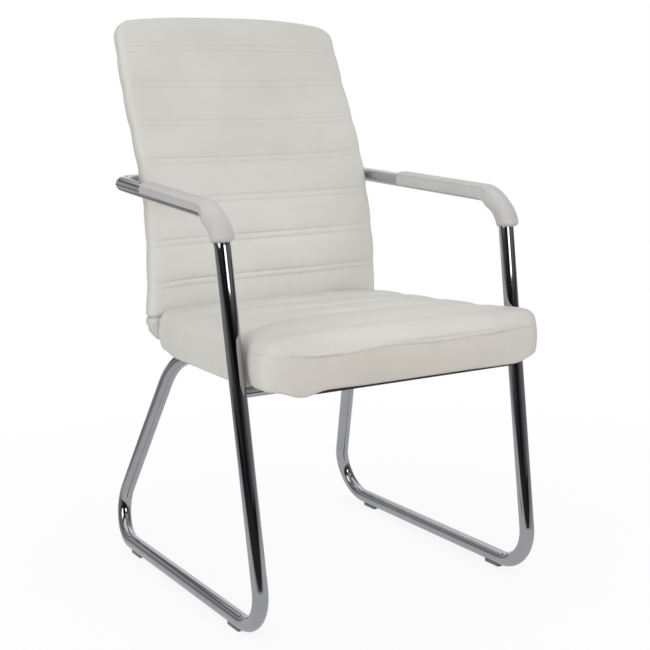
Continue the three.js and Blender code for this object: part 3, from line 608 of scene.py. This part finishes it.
def slab_skin(name, form):
    """The skin of a padded slab. Its form gives its sizes and seams, and lays its points in place."""
    across, along, up = form["across"], form["along"], form["up"]
    corners, faces = block_skin((len(across), len(along), len(up)))
    is_top = corners[:, 2] == len(up) - 1
    is_base = corners[:, 2] == 0
    level = up[corners[:, 2]]
    x, row, edge, wx, wy = lay_slab(across[corners[:, 0]], along[corners[:, 1]], form)
    y = form["warp"](x, row)
    roll_top, roll_base = form["rolls"](x, row)
    top, base = form["top"](x, row), form["base"](x, row)
    share = np.minimum(1, (top - base) / (roll_top + roll_base + 1.0))
    roll_top, roll_base = roll_top * share, roll_base * share
    wall_low, wall_high = base + roll_base, top - roll_top
    height = wall_low + (wall_high - wall_low) * level
    height = np.where(is_top, top - fall(edge, roll_top), height)
    height = np.where(is_base, base + fall(edge, roll_base), height)
    stitched = near_lines(row, form["lines"], form["strengths"], 2.3) * form["tightness"](x, row)
    over_edge = smoothstep(edge / form["edge_fade"] + 0.2)
    stitched = stitched * over_edge
    padding = form["padding"](x, row) * over_edge - form["groove"] * stitched ** 2
    padding = padding + wrinkles(x, row, form["lines"], form["seed"]) * over_edge
    height = height + np.where(is_top, padding, 0)
    on_side = ~(is_top | is_base)
    swell = np.where(on_side, form["bulge"](x, row) * np.sin(np.pi * level) ** 0.8, 0)
    rim = np.where(is_top & (edge < 0.01), form["rim"](x, row), 0.0)
    swell = swell - rim * form["groove"] * 1.6
    # the boxing seam, where it is sewn lower than the edge, and the roll of cover above it
    under = wall_high - height - form["drop"](x, row)
    sewn = form["boxed"](x, row)
    boxed = np.where(on_side, np.exp(-(under / 1.7) ** 2) * sewn, 0)
    above = np.where(on_side, np.exp(-((under + 4) / 2.4) ** 2) * sewn, 0)
    swell = swell - 1.7 * boxed + 0.7 * above
    pull, fold_shade = form["folds"](x, row, height)
    swell = swell - pull
    height = height - np.where(is_top, pull * 0.7, 0) + np.where(is_base, pull * 0.7, 0)
    points = np.stack([x + wx * swell, y + wy * swell, height], axis=1)
    # Painted shade: stitch lines, the stitched rim, the boxing seam and the folds are darkened through a point
    # attribute.
    crease_shade = np.where(is_top, stitched, 0.0)
    crease_shade = np.maximum.reduce([crease_shade, rim, 1.3 * boxed, fold_shade])
    piece = mesh_piece(name, [form["place"](*p) for p in points], faces)
    mark_points(piece, "crease_shade", crease_shade)
    mark_points(piece, "tone_and_shade", form["tone_and_shade"](x, row, is_top, under))
    return piece


# Seat

SEAT_FRONT_Y = -350.86
SEAT_LENGTH = 469.3
SEAT_SEAMS = [172.5, 260.5, 348.5, 436.5]
SEAT_BAND = 9.5  # between a seam's two stitch lines
SEAT_LIP_Z = 384.6  # height of the middle of the front lip
PINCH_ROW = 92.0  # where the front legs press into the sides


def stitch_lines(seams, band):
    return [seam + side * band / 2 for seam in seams for side in (-1, 1)]


def seat_half(distance):
    full = 247.0 - 20.5 * np.clip((distance - 70.0) / 399.0, 0, 1)
    pinched = 3.6 * np.exp(-((distance - PINCH_ROW) / 19) ** 2)
    return full + 2.0 * np.exp(-((distance - 40) / 50) ** 2) - pinched


def seat_warp(x, row):
    """The foremost seam curls forward beside the front legs, and the others a little."""
    side = smoothstep((np.abs(x) - 120) / 125)
    first = 38 * np.exp(-((row - 172.5) / 70) ** 2)
    others = 9 * smoothstep((row - 220) / 60) * smoothstep((460 - row) / 40)
    return row - side * (first + others)


def seat_top(x, row):
    """Full and crowned in front, lower behind."""
    power = 2.6 + 1.6 * smoothstep((row - 250) / 180)
    crown = 10.0 * (1 - np.abs(x / seat_half(row)) ** power)
    ends = smoothstep(row / 80) * smoothstep((SEAT_LENGTH - row) / 40)
    return 465.5 - 10.0 * row / SEAT_LENGTH + crown * (0.4 + 0.6 * ends)


def seat_base(x, row):
    """A front lip clear of the tube behind it, and skirts beside the rails.

    The lip lifts at its corners, has a belly near the right front leg and is drawn up beside that belly.
    """
    sag = 4.6 * np.exp(-((x + 188) / np.where(x > -188, 22, 60)) ** 2)
    drawn_up = np.interp(x, [-190, -160, -122, -90, 110, 160], [0, 2.4, 1.7, 0.9, 0.8, 0])
    lip = SEAT_LIP_Z + 8.5 * smoothstep((np.abs(x) - 194) / 40) - sag + drawn_up
    over_tube = 391.2
    skirt = 384.3 + 7.0 * smoothstep((row - 400) / 50)
    base = lip + (over_tube - lip) * smoothstep((row - 36) / 34)
    return base + (skirt - base) * smoothstep((row - 98) / 30)


def seat_rolls(x, row):
    side = np.minimum(seat_half(row) - np.abs(x), 60)
    front = smoothstep(0.5 + (side - row) / 50)
    rear = smoothstep(0.5 + (side - (SEAT_LENGTH - row)) / 50)
    middle = 1 - np.clip(np.abs(x) / seat_half(row), 0, 1) ** 4
    return 19.5 + 5.5 * front * middle - 8 * rear, 8 + 16 * rear


def seat_padding(x, row):
    rows = channels(row, SEAT_SEAMS, SEAT_BAND, 3.4, 0.9, (-60, SEAT_LENGTH + 20))
    return rows - 1.0


def seat_front(x, row):
    """1 on the front boxing, 0 round the corners."""
    side = np.minimum(seat_half(row) - np.abs(x), 60)
    return smoothstep(0.6 + (side - row) / 60)


def seat_rim(x, row):
    """The top panel's edge is stitched down in front, on the left half, and fades along the sides."""
    in_front = seat_front(x, row)
    stitched = np.interp(x, [90, 150], [0.8, 0.45]) * smoothstep((x + 70) / 80) * smoothstep((225 - x) / 60)
    return stitched * in_front + (1 - in_front) * (0.32 - 0.25 * smoothstep((row - 60) / 200))


def seat_drop(x, row):
    """How far the front boxing seam hangs below the edge of the top panel."""
    places = [-245, -225, -175, -110, -75, -40, -4, 30, 62, 98, 133, 167, 201, 245]
    drops = [-1, -1, 6, 7.2, 4.0, 2.8, 3.9, 6.0, 6.4, 5.0, 4.8, 3.8, 2.3, 1]
    return np.interp(x, places, drops) * seat_front(x, row)


def seat_boxed(x, row):
    strength = np.interp(x, [-165, -125, 100, 160], [1.0, 0.6, 0.6, 0.75])
    return seat_front(x, row) * (0.6 + 0.4 * smoothstep((200 - np.abs(x)) / 60)) * strength


def seat_tone_and_shade(x, row, is_top, under):
    """The front boxing is cut from a slightly warmer panel, and its tone also paints shade, lighter towards both ends
    of the front. The sides are toned a little, and the top is toned darker towards its front edge.
    """
    in_front = smoothstep((26 - row) / 20)
    in_front = in_front * np.interp(x, [-247, -185, -60, 60, 200], [0.55, 0.68, 1, 1, 0.42])
    varied = 0.3 * smoothstep((60 - row) / 45)
    return np.where(is_top, varied, 0.15 * (1 - in_front) + in_front * (0.3 + 0.42 * smoothstep(0.5 + under / 3)))


def seat_folds(x, row, height):
    """Shallow puckers in the front boxing, where its seam is eased round a corner, and shade at the legs."""
    in_front = smoothstep((34 - row) / 14)
    place = np.exp(-((x + 130) / 75) ** 2) + 0.35
    waves = wander(np.stack([x, 0.1 * height, 0 * x], axis=1), 12.0, 11)
    below = smoothstep((452 - height) / 10) * smoothstep((height - 395) / 25)
    at_leg = np.exp(-((row - PINCH_ROW - 3) / 4) ** 2) * smoothstep((np.abs(x) - seat_half(row) + 12) / 10)
    return 0.8 * waves * in_front * place * below, 1.2 * at_leg


def seat_place(x, y, z):
    """The left front corner stands out a little."""
    aside = 5.5 * float(smoothstep((x - 150) / 90)) * math.exp(-((y - 32) / 27) ** 2)
    return at(x + aside, SEAT_FRONT_Y + y, z)


def seat_form():
    half = 247.0
    rolled = [half - r for r in roll_steps(30, 8)]
    middle = list(np.linspace(0, rolled[-1], 56)[:-1])
    right = np.array(middle + rolled[::-1] + [half]) / half
    lines = stitch_lines(SEAT_SEAMS, SEAT_BAND)
    at_legs = [PINCH_ROW + gap for gap in (-12, -8, -4, 0, 4, 8, 12)]
    ends = roll_steps(32, 9) + [6.4, 7.2, 8.0, 8.8, 9.6] + at_legs + [SEAT_LENGTH - r for r in roll_steps(28, 8)]
    return {
        "across": np.concatenate([-right[:0:-1], right]),
        "along": lines_across(SEAT_LENGTH, lines, 6.0, ends=ends),
        "up": np.concatenate([[0, 0.06, 0.16, 0.3, 0.45, 0.58], np.linspace(0.68, 1.0, 19)]),
        "length": SEAT_LENGTH, "half": seat_half, "front_corner": 33.0, "rear_corner": 25.0,
        "warp": seat_warp, "rolls": seat_rolls, "top": seat_top, "base": seat_base,
        "bulge": lambda x, row: 2.2 + 0 * x, "padding": seat_padding, "groove": 0.9, "lines": lines,
        "strengths": [1.0] * len(lines), "tightness": lambda x, row: 1.0 + 0 * x,
        "rim": seat_rim, "tone_and_shade": seat_tone_and_shade, "edge_fade": 34.0, "seed": 2,
        "drop": seat_drop, "boxed": seat_boxed, "folds": seat_folds,
        "place": seat_place,
    }


seat = slab_skin("seat_cushion_upholstered", seat_form())
finish(seat, HIDE, "leatherette", "seat_cushion")

# Back: its front face is a curve that runs up, leans back and eases towards the head

BACK_BOTTOM = 388.0
BACK_LENGTH = 614.0
BACK_THICK = 49.6
BACK_FRONT_Y = 126.0
BACK_ADVANCE = 5.0  # the face stands this much further forward above the seat
BACK_ASIDE = 2.8  # the cover is drawn over this far to the left
FOLD_ROW = 60.0
BACK_SEAMS = [118.2, 188.1, 258.4, 328.2, 397.8, 475.0, 546.7]
BACK_BAND = 11.0
# each seam, from the lowest: how far it climbs towards its -x and +x ends, how much wider its pair of lines is in the
# middle, and how deep its lower and upper lines are sewn, which also sets how dark their painted shade is
BACK_SEWING = [
    (-7.0, 1.5, 0.0, 0.62, 0.85), (-2.0, 2.2, 0.0, 0.55, 0.75), (2.5, 3.5, 0.0, 0.32, 0.62),
    (3.8, 6.0, 0.0, 0.3, 0.55), (5.5, 6.5, 0.1, 0.24, 0.38), (6.0, 6.0, 0.32, 0.36, 0.34),
    (0.5, 1.0, 0.0, 0.38, 0.36),
]
UPPER_LEAN, HEAD_LEAN = math.radians(25.2), math.radians(20.5)
BACK_RUNS = (
    (134.0, 0.0), (600.0 * UPPER_LEAN, UPPER_LEAN), (73.3, 0.0),
    (200.0 * (UPPER_LEAN - HEAD_LEAN), HEAD_LEAN - UPPER_LEAN), (BACK_LENGTH, 0.0),
)


def back_curve(distance):
    """y and z from the lower end of the front face, and its lean, at a distance along it."""
    y = z = lean = 0.0
    for length, turn in BACK_RUNS:
        run = min(distance, length) if length != BACK_LENGTH else distance
        turned = turn * run / length
        if turned:
            radius = length / turn
            y += radius * (math.cos(lean) - math.cos(lean + turned))
            z += radius * (math.sin(lean + turned) - math.sin(lean))
            lean += turned
        else:
            y += run * math.sin(lean)
            z += run * math.cos(lean)
        distance -= run
        if distance <= 0:
            break
    return y, z, lean


def back_place(x, distance, height):
    """A point a height in front of the back's front face."""
    if distance < 0:
        y, z, lean = 0.0, distance, 0.0
    else:
        y, z, lean = back_curve(distance)
    y -= BACK_ADVANCE * float(smoothstep((distance - 40) / 90))
    x += BACK_ASIDE * (1 + 0.25 * distance / BACK_LENGTH)
    # the left upper corner is cut rounder
    x -= 4.5 * float(smoothstep((x - 140) / 80) * smoothstep((distance - 572) / 38))
    return at(x, BACK_FRONT_Y + y - height * math.cos(lean), BACK_BOTTOM + z + height * math.sin(lean))


def back_half(distance):
    places = [0, 30, 62, 112, 182, 251, 350, 420, 490, 540, 614.0]
    halves = [226.0, 231.0, 233.6, 231.7, 228.8, 226.5, 226.8, 226.7, 225.2, 223.7, 220.4]
    tight = channels(distance, BACK_SEAMS, BACK_BAND, 1.5, 0.2, (-40, BACK_LENGTH + 40))
    return np.interp(distance, places, halves) + tight - 0.8


def back_warp(x, row):
    """The top edge is arched. The seams climb to their ends, and some pairs of lines spread in the middle."""
    across = np.abs(x / back_half(row))
    outer = across ** 2
    rises = [(0.0, 0.0), *(sewing[:2] for sewing in BACK_SEWING), (0.0, 0.0)]
    places = [0.0, *BACK_SEAMS, BACK_LENGTH]
    low_x, high_x = (np.interp(row, places, [rise[side] for rise in rises]) for side in (0, 1))
    moved = row + outer * np.where(x < 0, low_x, high_x)
    for seam, (_, _, wider, _, _) in zip(BACK_SEAMS, BACK_SEWING):
        gap = row - seam
        moved = moved + wider * (1 - outer) * gap * np.exp(-(gap / 14) ** 2)
    arch = np.where(x < 0, 12 * across ** 3, 19 * across ** 2.6)
    return moved - arch * np.clip(1 - (BACK_LENGTH - row) / 90, 0, 1)


def back_top(x, row):
    crown = 6.5 * (1 - (np.abs(x) / back_half(row)) ** 2.5)
    ends = smoothstep(row / 30) * smoothstep((BACK_LENGTH - row) / 40)
    return crown * ends - 1.0


def back_rolls(x, row):
    side = np.minimum(back_half(row) - np.abs(x), 60)
    bottom = smoothstep(0.5 + (side - row) / 40)
    head = smoothstep(0.5 + (side - (BACK_LENGTH - row)) / 40)
    return 11 + 1 * head, 31 + 3 * bottom - 8 * head


def back_padding(x, row):
    """The lower channels are the fuller ones."""
    full = channels(row, BACK_SEAMS, BACK_BAND, 2.8, 0.9, (-30, BACK_LENGTH + 30))
    return full * np.interp(row, [150, 330, 460], [1.0, 0.75, 0.5]) - 0.8


def back_tightness(x, row):
    """The lower seams slacken towards the left side of the chair."""
    return 1 - 0.65 * smoothstep((x - 40) / 150) * smoothstep((270 - row) / 60)


def back_rim(x, row):
    return 0.55 + 0 * x


def back_folds(x, row, height):
    """The cover folds where the seat presses on it, and is gathered in pleats round the lower corners. The fold and
    the hollows of the pleats get painted shade.
    """
    outer = smoothstep((np.abs(x) - 186) / 22)
    fold = np.exp(-((row - FOLD_ROW) / 2.4) ** 2) * outer
    below = smoothstep((row - 2) / 12) * smoothstep((FOLD_ROW - 2 - row) / 6) * outer
    pleats = np.sin((np.abs(x) - 0.7 * height + 0.12 * row) * 2 * np.pi / 9.0)
    return 3.4 * fold + 1.0 * pleats * below, np.maximum(2.2 * fold, 1.3 * below * np.clip(pleats, 0, 1))


def back_tone(x, row, is_top, under):
    return np.where(is_top, 0.0, 0.3)


def back_form():
    half = 237.0
    lines = stitch_lines(BACK_SEAMS, BACK_BAND)
    fold = [FOLD_ROW + gap for gap in (-4.5, -2.4, -1.2, 0, 1.2, 2.4, 4.5)]
    ends = roll_steps(32, 8) + fold + [BACK_LENGTH - r for r in roll_steps(24, 8)]
    middle = list(np.linspace(0, 186, 44))
    outer = sorted(set(np.arange(188.0, 232.0, 2.0)) | {half - 0.5, half - 1.2, half - 2.2, half - 3.6})
    right = np.array(middle + outer + [half]) / half
    return {
        "across": np.concatenate([-right[:0:-1], right]),
        "along": lines_across(BACK_LENGTH, lines, 6.5, ends=ends),
        "up": np.array([0, 0.2, 0.5, 0.8, 1.0]),
        "length": BACK_LENGTH, "half": back_half, "front_corner": 48.0, "rear_corner": 28.0,
        "warp": back_warp, "rolls": back_rolls, "top": back_top,
        "base": lambda x, row: -BACK_THICK + 0 * x,
        "bulge": lambda x, row: 1.0 + 0 * x, "padding": back_padding, "groove": 0.8, "lines": lines,
        "strengths": [strength for *_, lower, upper in BACK_SEWING for strength in (lower, upper)],
        "tightness": back_tightness,
        "rim": back_rim, "tone_and_shade": back_tone, "edge_fade": 30.0, "seed": 5,
        "drop": lambda x, row: 0 * x, "boxed": lambda x, row: 0 * x, "folds": back_folds, "place": back_place,
    }


back = slab_skin("back_cushion_upholstered", back_form())
finish(back, HIDE, "leatherette", "back_cushion")


# Arm pads. Each was set by hand, so they start and end a little apart.

# where each starts, its share of the bend, and how deep the painted shade on its side panels is, deeper on the right
# pad
PAD_PLACES = {"right_arm_pad": (158.0, 0.85, 0.8), "left_arm_pad": (174.0, 0.94, 0.0)}
PAD_BARE = {"inner": 62.0, "outer": 90.0}  # degrees from the underside that stay bare along the arm
PAD_SEAM = 57.0  # degrees from the top to the seam along the arm
PAD_LINING, PAD_EDGE = 12.62, 12.7  # radii of the pad's inside and of its tucked edges, over the 12.5 of the tube
PAD_BOX, PAD_ROUND = 16.9, 16.4  # radii of its boxed section along the arm and of its round one in the bend
PAD_SQUARENESS = 3.4  # power of the boxed section's rounding
PAD_FULL, PAD_THIN, PAD_SKEW = 5.8, 3.5, 4.6  # at its lower end: fuller outside, thinner inside, cut slanting


def pad_stations(start_gap, share):
    """Points on the arm's axis under the pad, with the heading, the way out of the bend, and how far along."""
    loop, corner, leg = Vector(LOOP_CORNER), Vector(ARM_CORNER), Vector((RUNNER_X, -FLOOR_Y, RUNNER_Z))
    heading = (corner - loop).normalized()
    down = (leg - corner).normalized()
    angle = heading.angle(down)
    hinge = heading.cross(down).normalized()
    setback = BEND_RADII[3] * math.tan(angle / 2)
    start = loop + heading * start_gap
    bend_start = corner - heading * setback
    outwards = -hinge.cross(heading)
    centre = bend_start - outwards * BEND_RADII[3]
    straight = (bend_start - start).length
    total = straight + angle * share * BEND_RADII[3]

    def station(gone):
        if gone <= straight:
            return start + heading * gone, heading.copy(), outwards.copy(), gone
        turn = Matrix.Rotation((gone - straight) / BEND_RADII[3], 3, hinge)
        return centre + turn @ outwards * BEND_RADII[3], turn @ heading, turn @ outwards, gone

    near_end = [0, 0.4, 1.0, 1.9, 3.2, 5.2]
    places = near_end + list(np.arange(9.0, total - 7, 3.6)) + [total - g for g in near_end[::-1]]
    return [station(gone) for gone in places], hinge, straight, total


def arm_pad(name, start_gap, share, side_shade):
    """A boxed pad wrapped over the tube, open below along the arm and closed round the bend."""
    stations, hinge, straight, total = pad_stations(start_gap, share)
    columns = 57
    rings, crease_shade, tone_and_shade = [], [], []
    for point, heading, outwards, gone in stations:
        end_gap = min(gone, total - gone)
        swell = 1 - 0.6 * max(0.0, 1 - end_gap / 4.0) ** 2
        closing = float(smoothstep((gone - straight - 11) / 40))
        late = float(smoothstep((gone - straight - 0.3 * (total - straight)) / (0.7 * (total - straight))))
        inner_reach, outer_reach = (
            math.radians(180 - PAD_BARE[side] * (1 - closing) - 5.0 * closing) for side in ("inner", "outer"))
        seam_at = PAD_SEAM + (168.0 - PAD_SEAM) * closing
        outer, inner = [], []
        for i in range(columns):
            angle = -inner_reach + (inner_reach + outer_reach) * i / (columns - 1)
            c, s = abs(math.cos(angle)), abs(math.sin(angle))
            box = PAD_BOX / (c ** PAD_SQUARENESS + s ** PAD_SQUARENESS) ** (1 / PAD_SQUARENESS)
            box += (PAD_ROUND - box) * 0.6 * closing
            outer_side = max(0.0, math.cos(angle))
            box += PAD_FULL * late * outer_side - PAD_THIN * late * max(0.0, -math.cos(angle))
            away = abs(math.degrees(angle)) - seam_at
            seam = math.exp(-(away / 3.4) ** 2)
            tip = max(0.0, 1 - (columns / 2 - abs(i - columns / 2)) / 2.5)
            radius = PAD_EDGE + (box - PAD_EDGE) * swell * (1 - 0.45 * tip ** 2) - 0.7 * seam
            way = outwards * math.cos(angle) + hinge * math.sin(angle)
            skew = heading * (PAD_SKEW * late * outer_side)
            outer.append(point + way * radius + skew)
            inner.append(point + way * PAD_LINING + skew)
            # Painted shade: the seam line is darkened, the side panel below it is toned by its pad's painted shade,
            # and the lower end of the bend and the lining are toned too.
            crease_shade.append(seam)
            tone_and_shade.append(float(smoothstep(0.5 + away / 6)) * side_shade * (1 - late) + 0.6 * late)
        crease_shade.extend([0.0] * columns)
        tone_and_shade.extend([0.5] * columns)
        rings.append(outer + inner)
    faces = []
    width = 2 * columns
    order = list(range(columns)) + list(range(width - 1, columns - 1, -1))
    for r in range(len(rings) - 1):
        for a, b in zip(order, order[1:] + order[:1]):
            faces.append((r * width + a, r * width + b, (r + 1) * width + b, (r + 1) * width + a))
    last = (len(rings) - 1) * width
    for i in range(columns - 1):
        faces.append((i, columns + i, columns + i + 1, i + 1))
        faces.append((last + i + 1, last + columns + i + 1, last + columns + i, last + i))
    piece = mesh_piece(name, [at(*p) for ring in rings for p in ring], faces)
    mark_points(piece, "crease_shade", crease_shade)
    mark_points(piece, "tone_and_shade", tone_and_shade)
    outward(piece)
    return piece


left_pad = arm_pad("left_arm_pad_upholstered", *PAD_PLACES["left_arm_pad"])
unmirrored = arm_pad("right_arm_pad_draft", *PAD_PLACES["right_arm_pad"])
right_pad = mirrored(unmirrored, "right_arm_pad_upholstered")
bpy.data.objects.remove(unmirrored)
for pad, node in ((left_pad, "left_arm_pad"), (right_pad, "right_arm_pad")):
    finish(pad, PAD_HIDE, "leatherette", node)

# Hidden and small parts keep their shape and take their finish

CAD_FINISHES = {
    "back_loop_spigot": ZINC, "seat_board": PLYWOOD, "back_board": PLYWOOD, "seat_dust_cover": FELT,
    "left_back_bracket": BLACK_STEEL, "right_back_bracket": BLACK_STEEL, "back_rear_cover": HIDE,
}
for node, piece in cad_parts.items():
    surface = CAD_FINISHES.get(node)
    if node.endswith(("_bolt", "_tee_nut")):
        surface = ZINC
    if node.endswith(("_spacer", "_cap")):
        surface = PLASTIC
    if surface and piece.material_slots:
        for slot in piece.material_slots:
            slot.material = surface
    elif surface:
        piece.data.materials.append(surface)

# Studio: a pale floor and white surroundings. The side towards the camera is dark, for reflections only.

CAMERA_SIDE = Vector((-0.554, -0.832, 0))  # from the chair towards the camera, in plan


def stage_material(name, build):
    made = bpy.data.materials.new(name)
    made.use_nodes = True
    made.node_tree.nodes.clear()
    build(made.node_tree)
    return made


def glow(tree, colour, strength=1.0):
    return add(tree, "ShaderNodeEmission", links={"Color": colour, "Strength": strength}).outputs["Emission"]


def shown_directly(tree):
    """1 for rays from the camera and for mirrored and transmitted ones."""
    seen = add(tree, "ShaderNodeLightPath").outputs
    either = add(tree, "ShaderNodeMath", {"operation": "MAXIMUM"},
                 {0: seen["Is Camera Ray"], 1: seen["Is Glossy Ray"]}).outputs[0]
    return add(tree, "ShaderNodeMath", {"operation": "MAXIMUM"},
               {0: either, 1: seen["Is Transmission Ray"]}).outputs[0]


def floor_shader(tree):
    # White for the camera, all of it far off and most of it near the chair, where it keeps a faint shadow.
    diffuse = add(tree, "ShaderNodeBsdfDiffuse", links={"Color": linear("#FAFAFA")}).outputs["BSDF"]
    distance = add(tree, "ShaderNodeVectorMath", {"operation": "LENGTH"},
                   {0: object_coordinates(tree)}).outputs["Value"]
    whiteness = add(tree, "ShaderNodeMapRange",
                    links={"Value": distance, "From Min": 0.4, "From Max": 1.5, "To Min": 0.86, "To Max": 1.0})
    share = add(tree, "ShaderNodeMath", {"operation": "MULTIPLY"},
                {0: shown_directly(tree), 1: whiteness.outputs["Result"]}).outputs[0]
    both = add(tree, "ShaderNodeMixShader", links={"Fac": share, 1: diffuse, 2: glow(tree, (1, 1, 1, 1))})
    add(tree, "ShaderNodeOutputMaterial", links={"Surface": both.outputs["Shader"]})


# greys round the studio by share of a turn, and brighter and darker rails by share of its height
STUDIO_GREYS = [
    (0.04, 0.9), (0.11, 0.5), (0.206, 0.32), (0.236, 0.3), (0.248, 0.1), (0.26, 0.29), (0.294, 0.26),
    (0.347, 0.15), (0.386, 0.06), (0.444, 0.04), (0.5, 0.012), (0.556, 0.013), (0.597, 0.05), (0.653, 0.1),
    (0.706, 0.18), (0.735, 0.2), (0.746, 0.07), (0.757, 0.2), (0.778, 0.22), (0.822, 0.22), (0.889, 0.3), (0.97, 1.0),
]
STUDIO_RAILS = [
    (0.0, 1.0), (0.1, 1.05), (0.12, 0.3), (0.155, 0.3), (0.175, 1.1), (0.31, 1.1), (0.33, 0.4), (0.4, 0.4),
    (0.43, 1.2), (1.0, 1.2),
]


def wall_shader(tree):
    # Grey cloth round the camera's side of the studio, black behind the camera.
    round_by = add(tree, "ShaderNodeTexGradient", {"gradient_type": "RADIAL"},
                   {"Vector": object_coordinates(tree)}).outputs["Fac"]
    shade = ramp(tree, round_by, [(place, (grey, grey, grey * 1.03, 1)) for place, grey in STUDIO_GREYS])
    # Dark rails across the cloth draw the thin streaks along the runners and the rear legs.
    height = add(tree, "ShaderNodeSeparateXYZ", links={"Vector": object_coordinates(tree)}).outputs["Z"]
    up = add(tree, "ShaderNodeMapRange", links={"Value": height, "From Min": -2.3, "From Max": 2.3}).outputs["Result"]
    rails = ramp(tree, up, [(place, (level, level, level, 1)) for place, level in STUDIO_RAILS])
    railed = add(tree, "ShaderNodeMix", {"data_type": "RGBA", "blend_type": "MULTIPLY"},
                 {"Factor": 1.0, 6: shade, 7: rails}).outputs[2]
    add(tree, "ShaderNodeOutputMaterial", links={"Surface": glow(tree, railed)})


def rug_shader(tree):
    # In the chrome the floor is grey, dimmer to the sides, and black beyond its end in front of the chair.
    axes = add(tree, "ShaderNodeSeparateXYZ", links={"Vector": object_coordinates(tree)}).outputs
    sideways = add(tree, "ShaderNodeMath", {"operation": "ABSOLUTE"}, {0: axes["Y"]}).outputs[0]
    falls = {"Value": sideways, "From Min": 0.5, "From Max": 1.5, "To Min": 0.62, "To Max": 0.26}
    grey = add(tree, "ShaderNodeMapRange", {"interpolation_type": "SMOOTHSTEP"}, falls).outputs["Result"]
    ends = {"Value": axes["X"], "From Min": 0.6, "From Max": 0.95, "To Min": 1.0, "To Max": 0.05}
    lit = add(tree, "ShaderNodeMapRange", {"interpolation_type": "SMOOTHSTEP"}, ends).outputs["Result"]
    level = add(tree, "ShaderNodeMath", {"operation": "MULTIPLY"}, {0: grey, 1: lit}).outputs[0]
    shade = add(tree, "ShaderNodeEmission", links={"Color": (1, 1, 1.02, 1), "Strength": level}).outputs["Emission"]
    add(tree, "ShaderNodeOutputMaterial", links={"Surface": shade})


def reflected_only(card):
    card.visible_camera = card.visible_diffuse = card.visible_shadow = False
    card.visible_transmission = card.visible_volume_scatter = False


deselect()
bpy.ops.mesh.primitive_plane_add(size=30, location=(0, 0, 0))
floor = settle("floor")
floor.data.materials.append(stage_material("floor_sweep", floor_shader))

# The ring's own x axis points at the camera, and its gradient starts and ends on the far side.
deselect()
bpy.ops.mesh.primitive_cylinder_add(vertices=96, radius=3.0, depth=4.6, end_fill_type="NOTHING", location=(0, 0, 2.3))
ring = bpy.context.object
ring.name = "studio_cloth"
ring.rotation_euler = (0, 0, math.atan2(CAMERA_SIDE.y, CAMERA_SIDE.x))
ring.data.materials.append(stage_material("studio_cloth_grey", wall_shader))
reflected_only(ring)

# The card on the floor, too, has its x axis towards the camera.
deselect()
bpy.ops.mesh.primitive_plane_add(size=6.0, location=(0, 0, 0.001))
rug = bpy.context.object
rug.name = "floor_cloth"
rug.rotation_euler = (0, 0, math.atan2(CAMERA_SIDE.y, CAMERA_SIDE.x))
rug.data.materials.append(stage_material("floor_cloth_grey", rug_shader))
reflected_only(rug)

world = bpy.data.worlds.new("studio")
scene.world = world
world.use_nodes = True
tree = world.node_tree
tree.nodes.clear()
soft = add(tree, "ShaderNodeBackground", links={"Color": (1, 1, 1, 1), "Strength": 0.83}).outputs["Background"]
white = add(tree, "ShaderNodeBackground", links={"Color": (1, 1, 1, 1), "Strength": 1.0}).outputs["Background"]
mixed = add(tree, "ShaderNodeMixShader", links={"Fac": shown_directly(tree), 1: soft, 2: white}).outputs["Shader"]
add(tree, "ShaderNodeOutputWorld", links={"Surface": mixed})


def lamp(name, place, watts, width, height, aim=(0, 0, 0.5), beam=180):
    data = bpy.data.lights.new(name, "AREA")
    data.shape = "RECTANGLE"
    data.size, data.size_y, data.energy, data.spread = width, height, watts, math.radians(beam)
    made = bpy.data.objects.new(name, data)
    scene.collection.objects.link(made)
    turn = (Vector(place) - Vector(aim)).to_track_quat("Z", "Y").to_matrix().to_4x4()
    made.matrix_world = Matrix.Translation(Vector(place)) @ turn


lamp("key_softbox", (1.2, -2.4, 2.4), 2, 0.7, 0.7)
lamp("fill_softbox", (-2.6, -1.0, 1.5), 16, 1.6, 1.6)
lamp("front_softbox", (-0.02, -2.8, 1.19), 7.5, 1.1, 0.66)
lamp("seat_softbox", (0.03, -1.5, 1.3), 0.12, 0.4, 0.4, aim=(0.0, 0.1, 0.42), beam=16)

scene.view_settings.view_transform = "Standard"
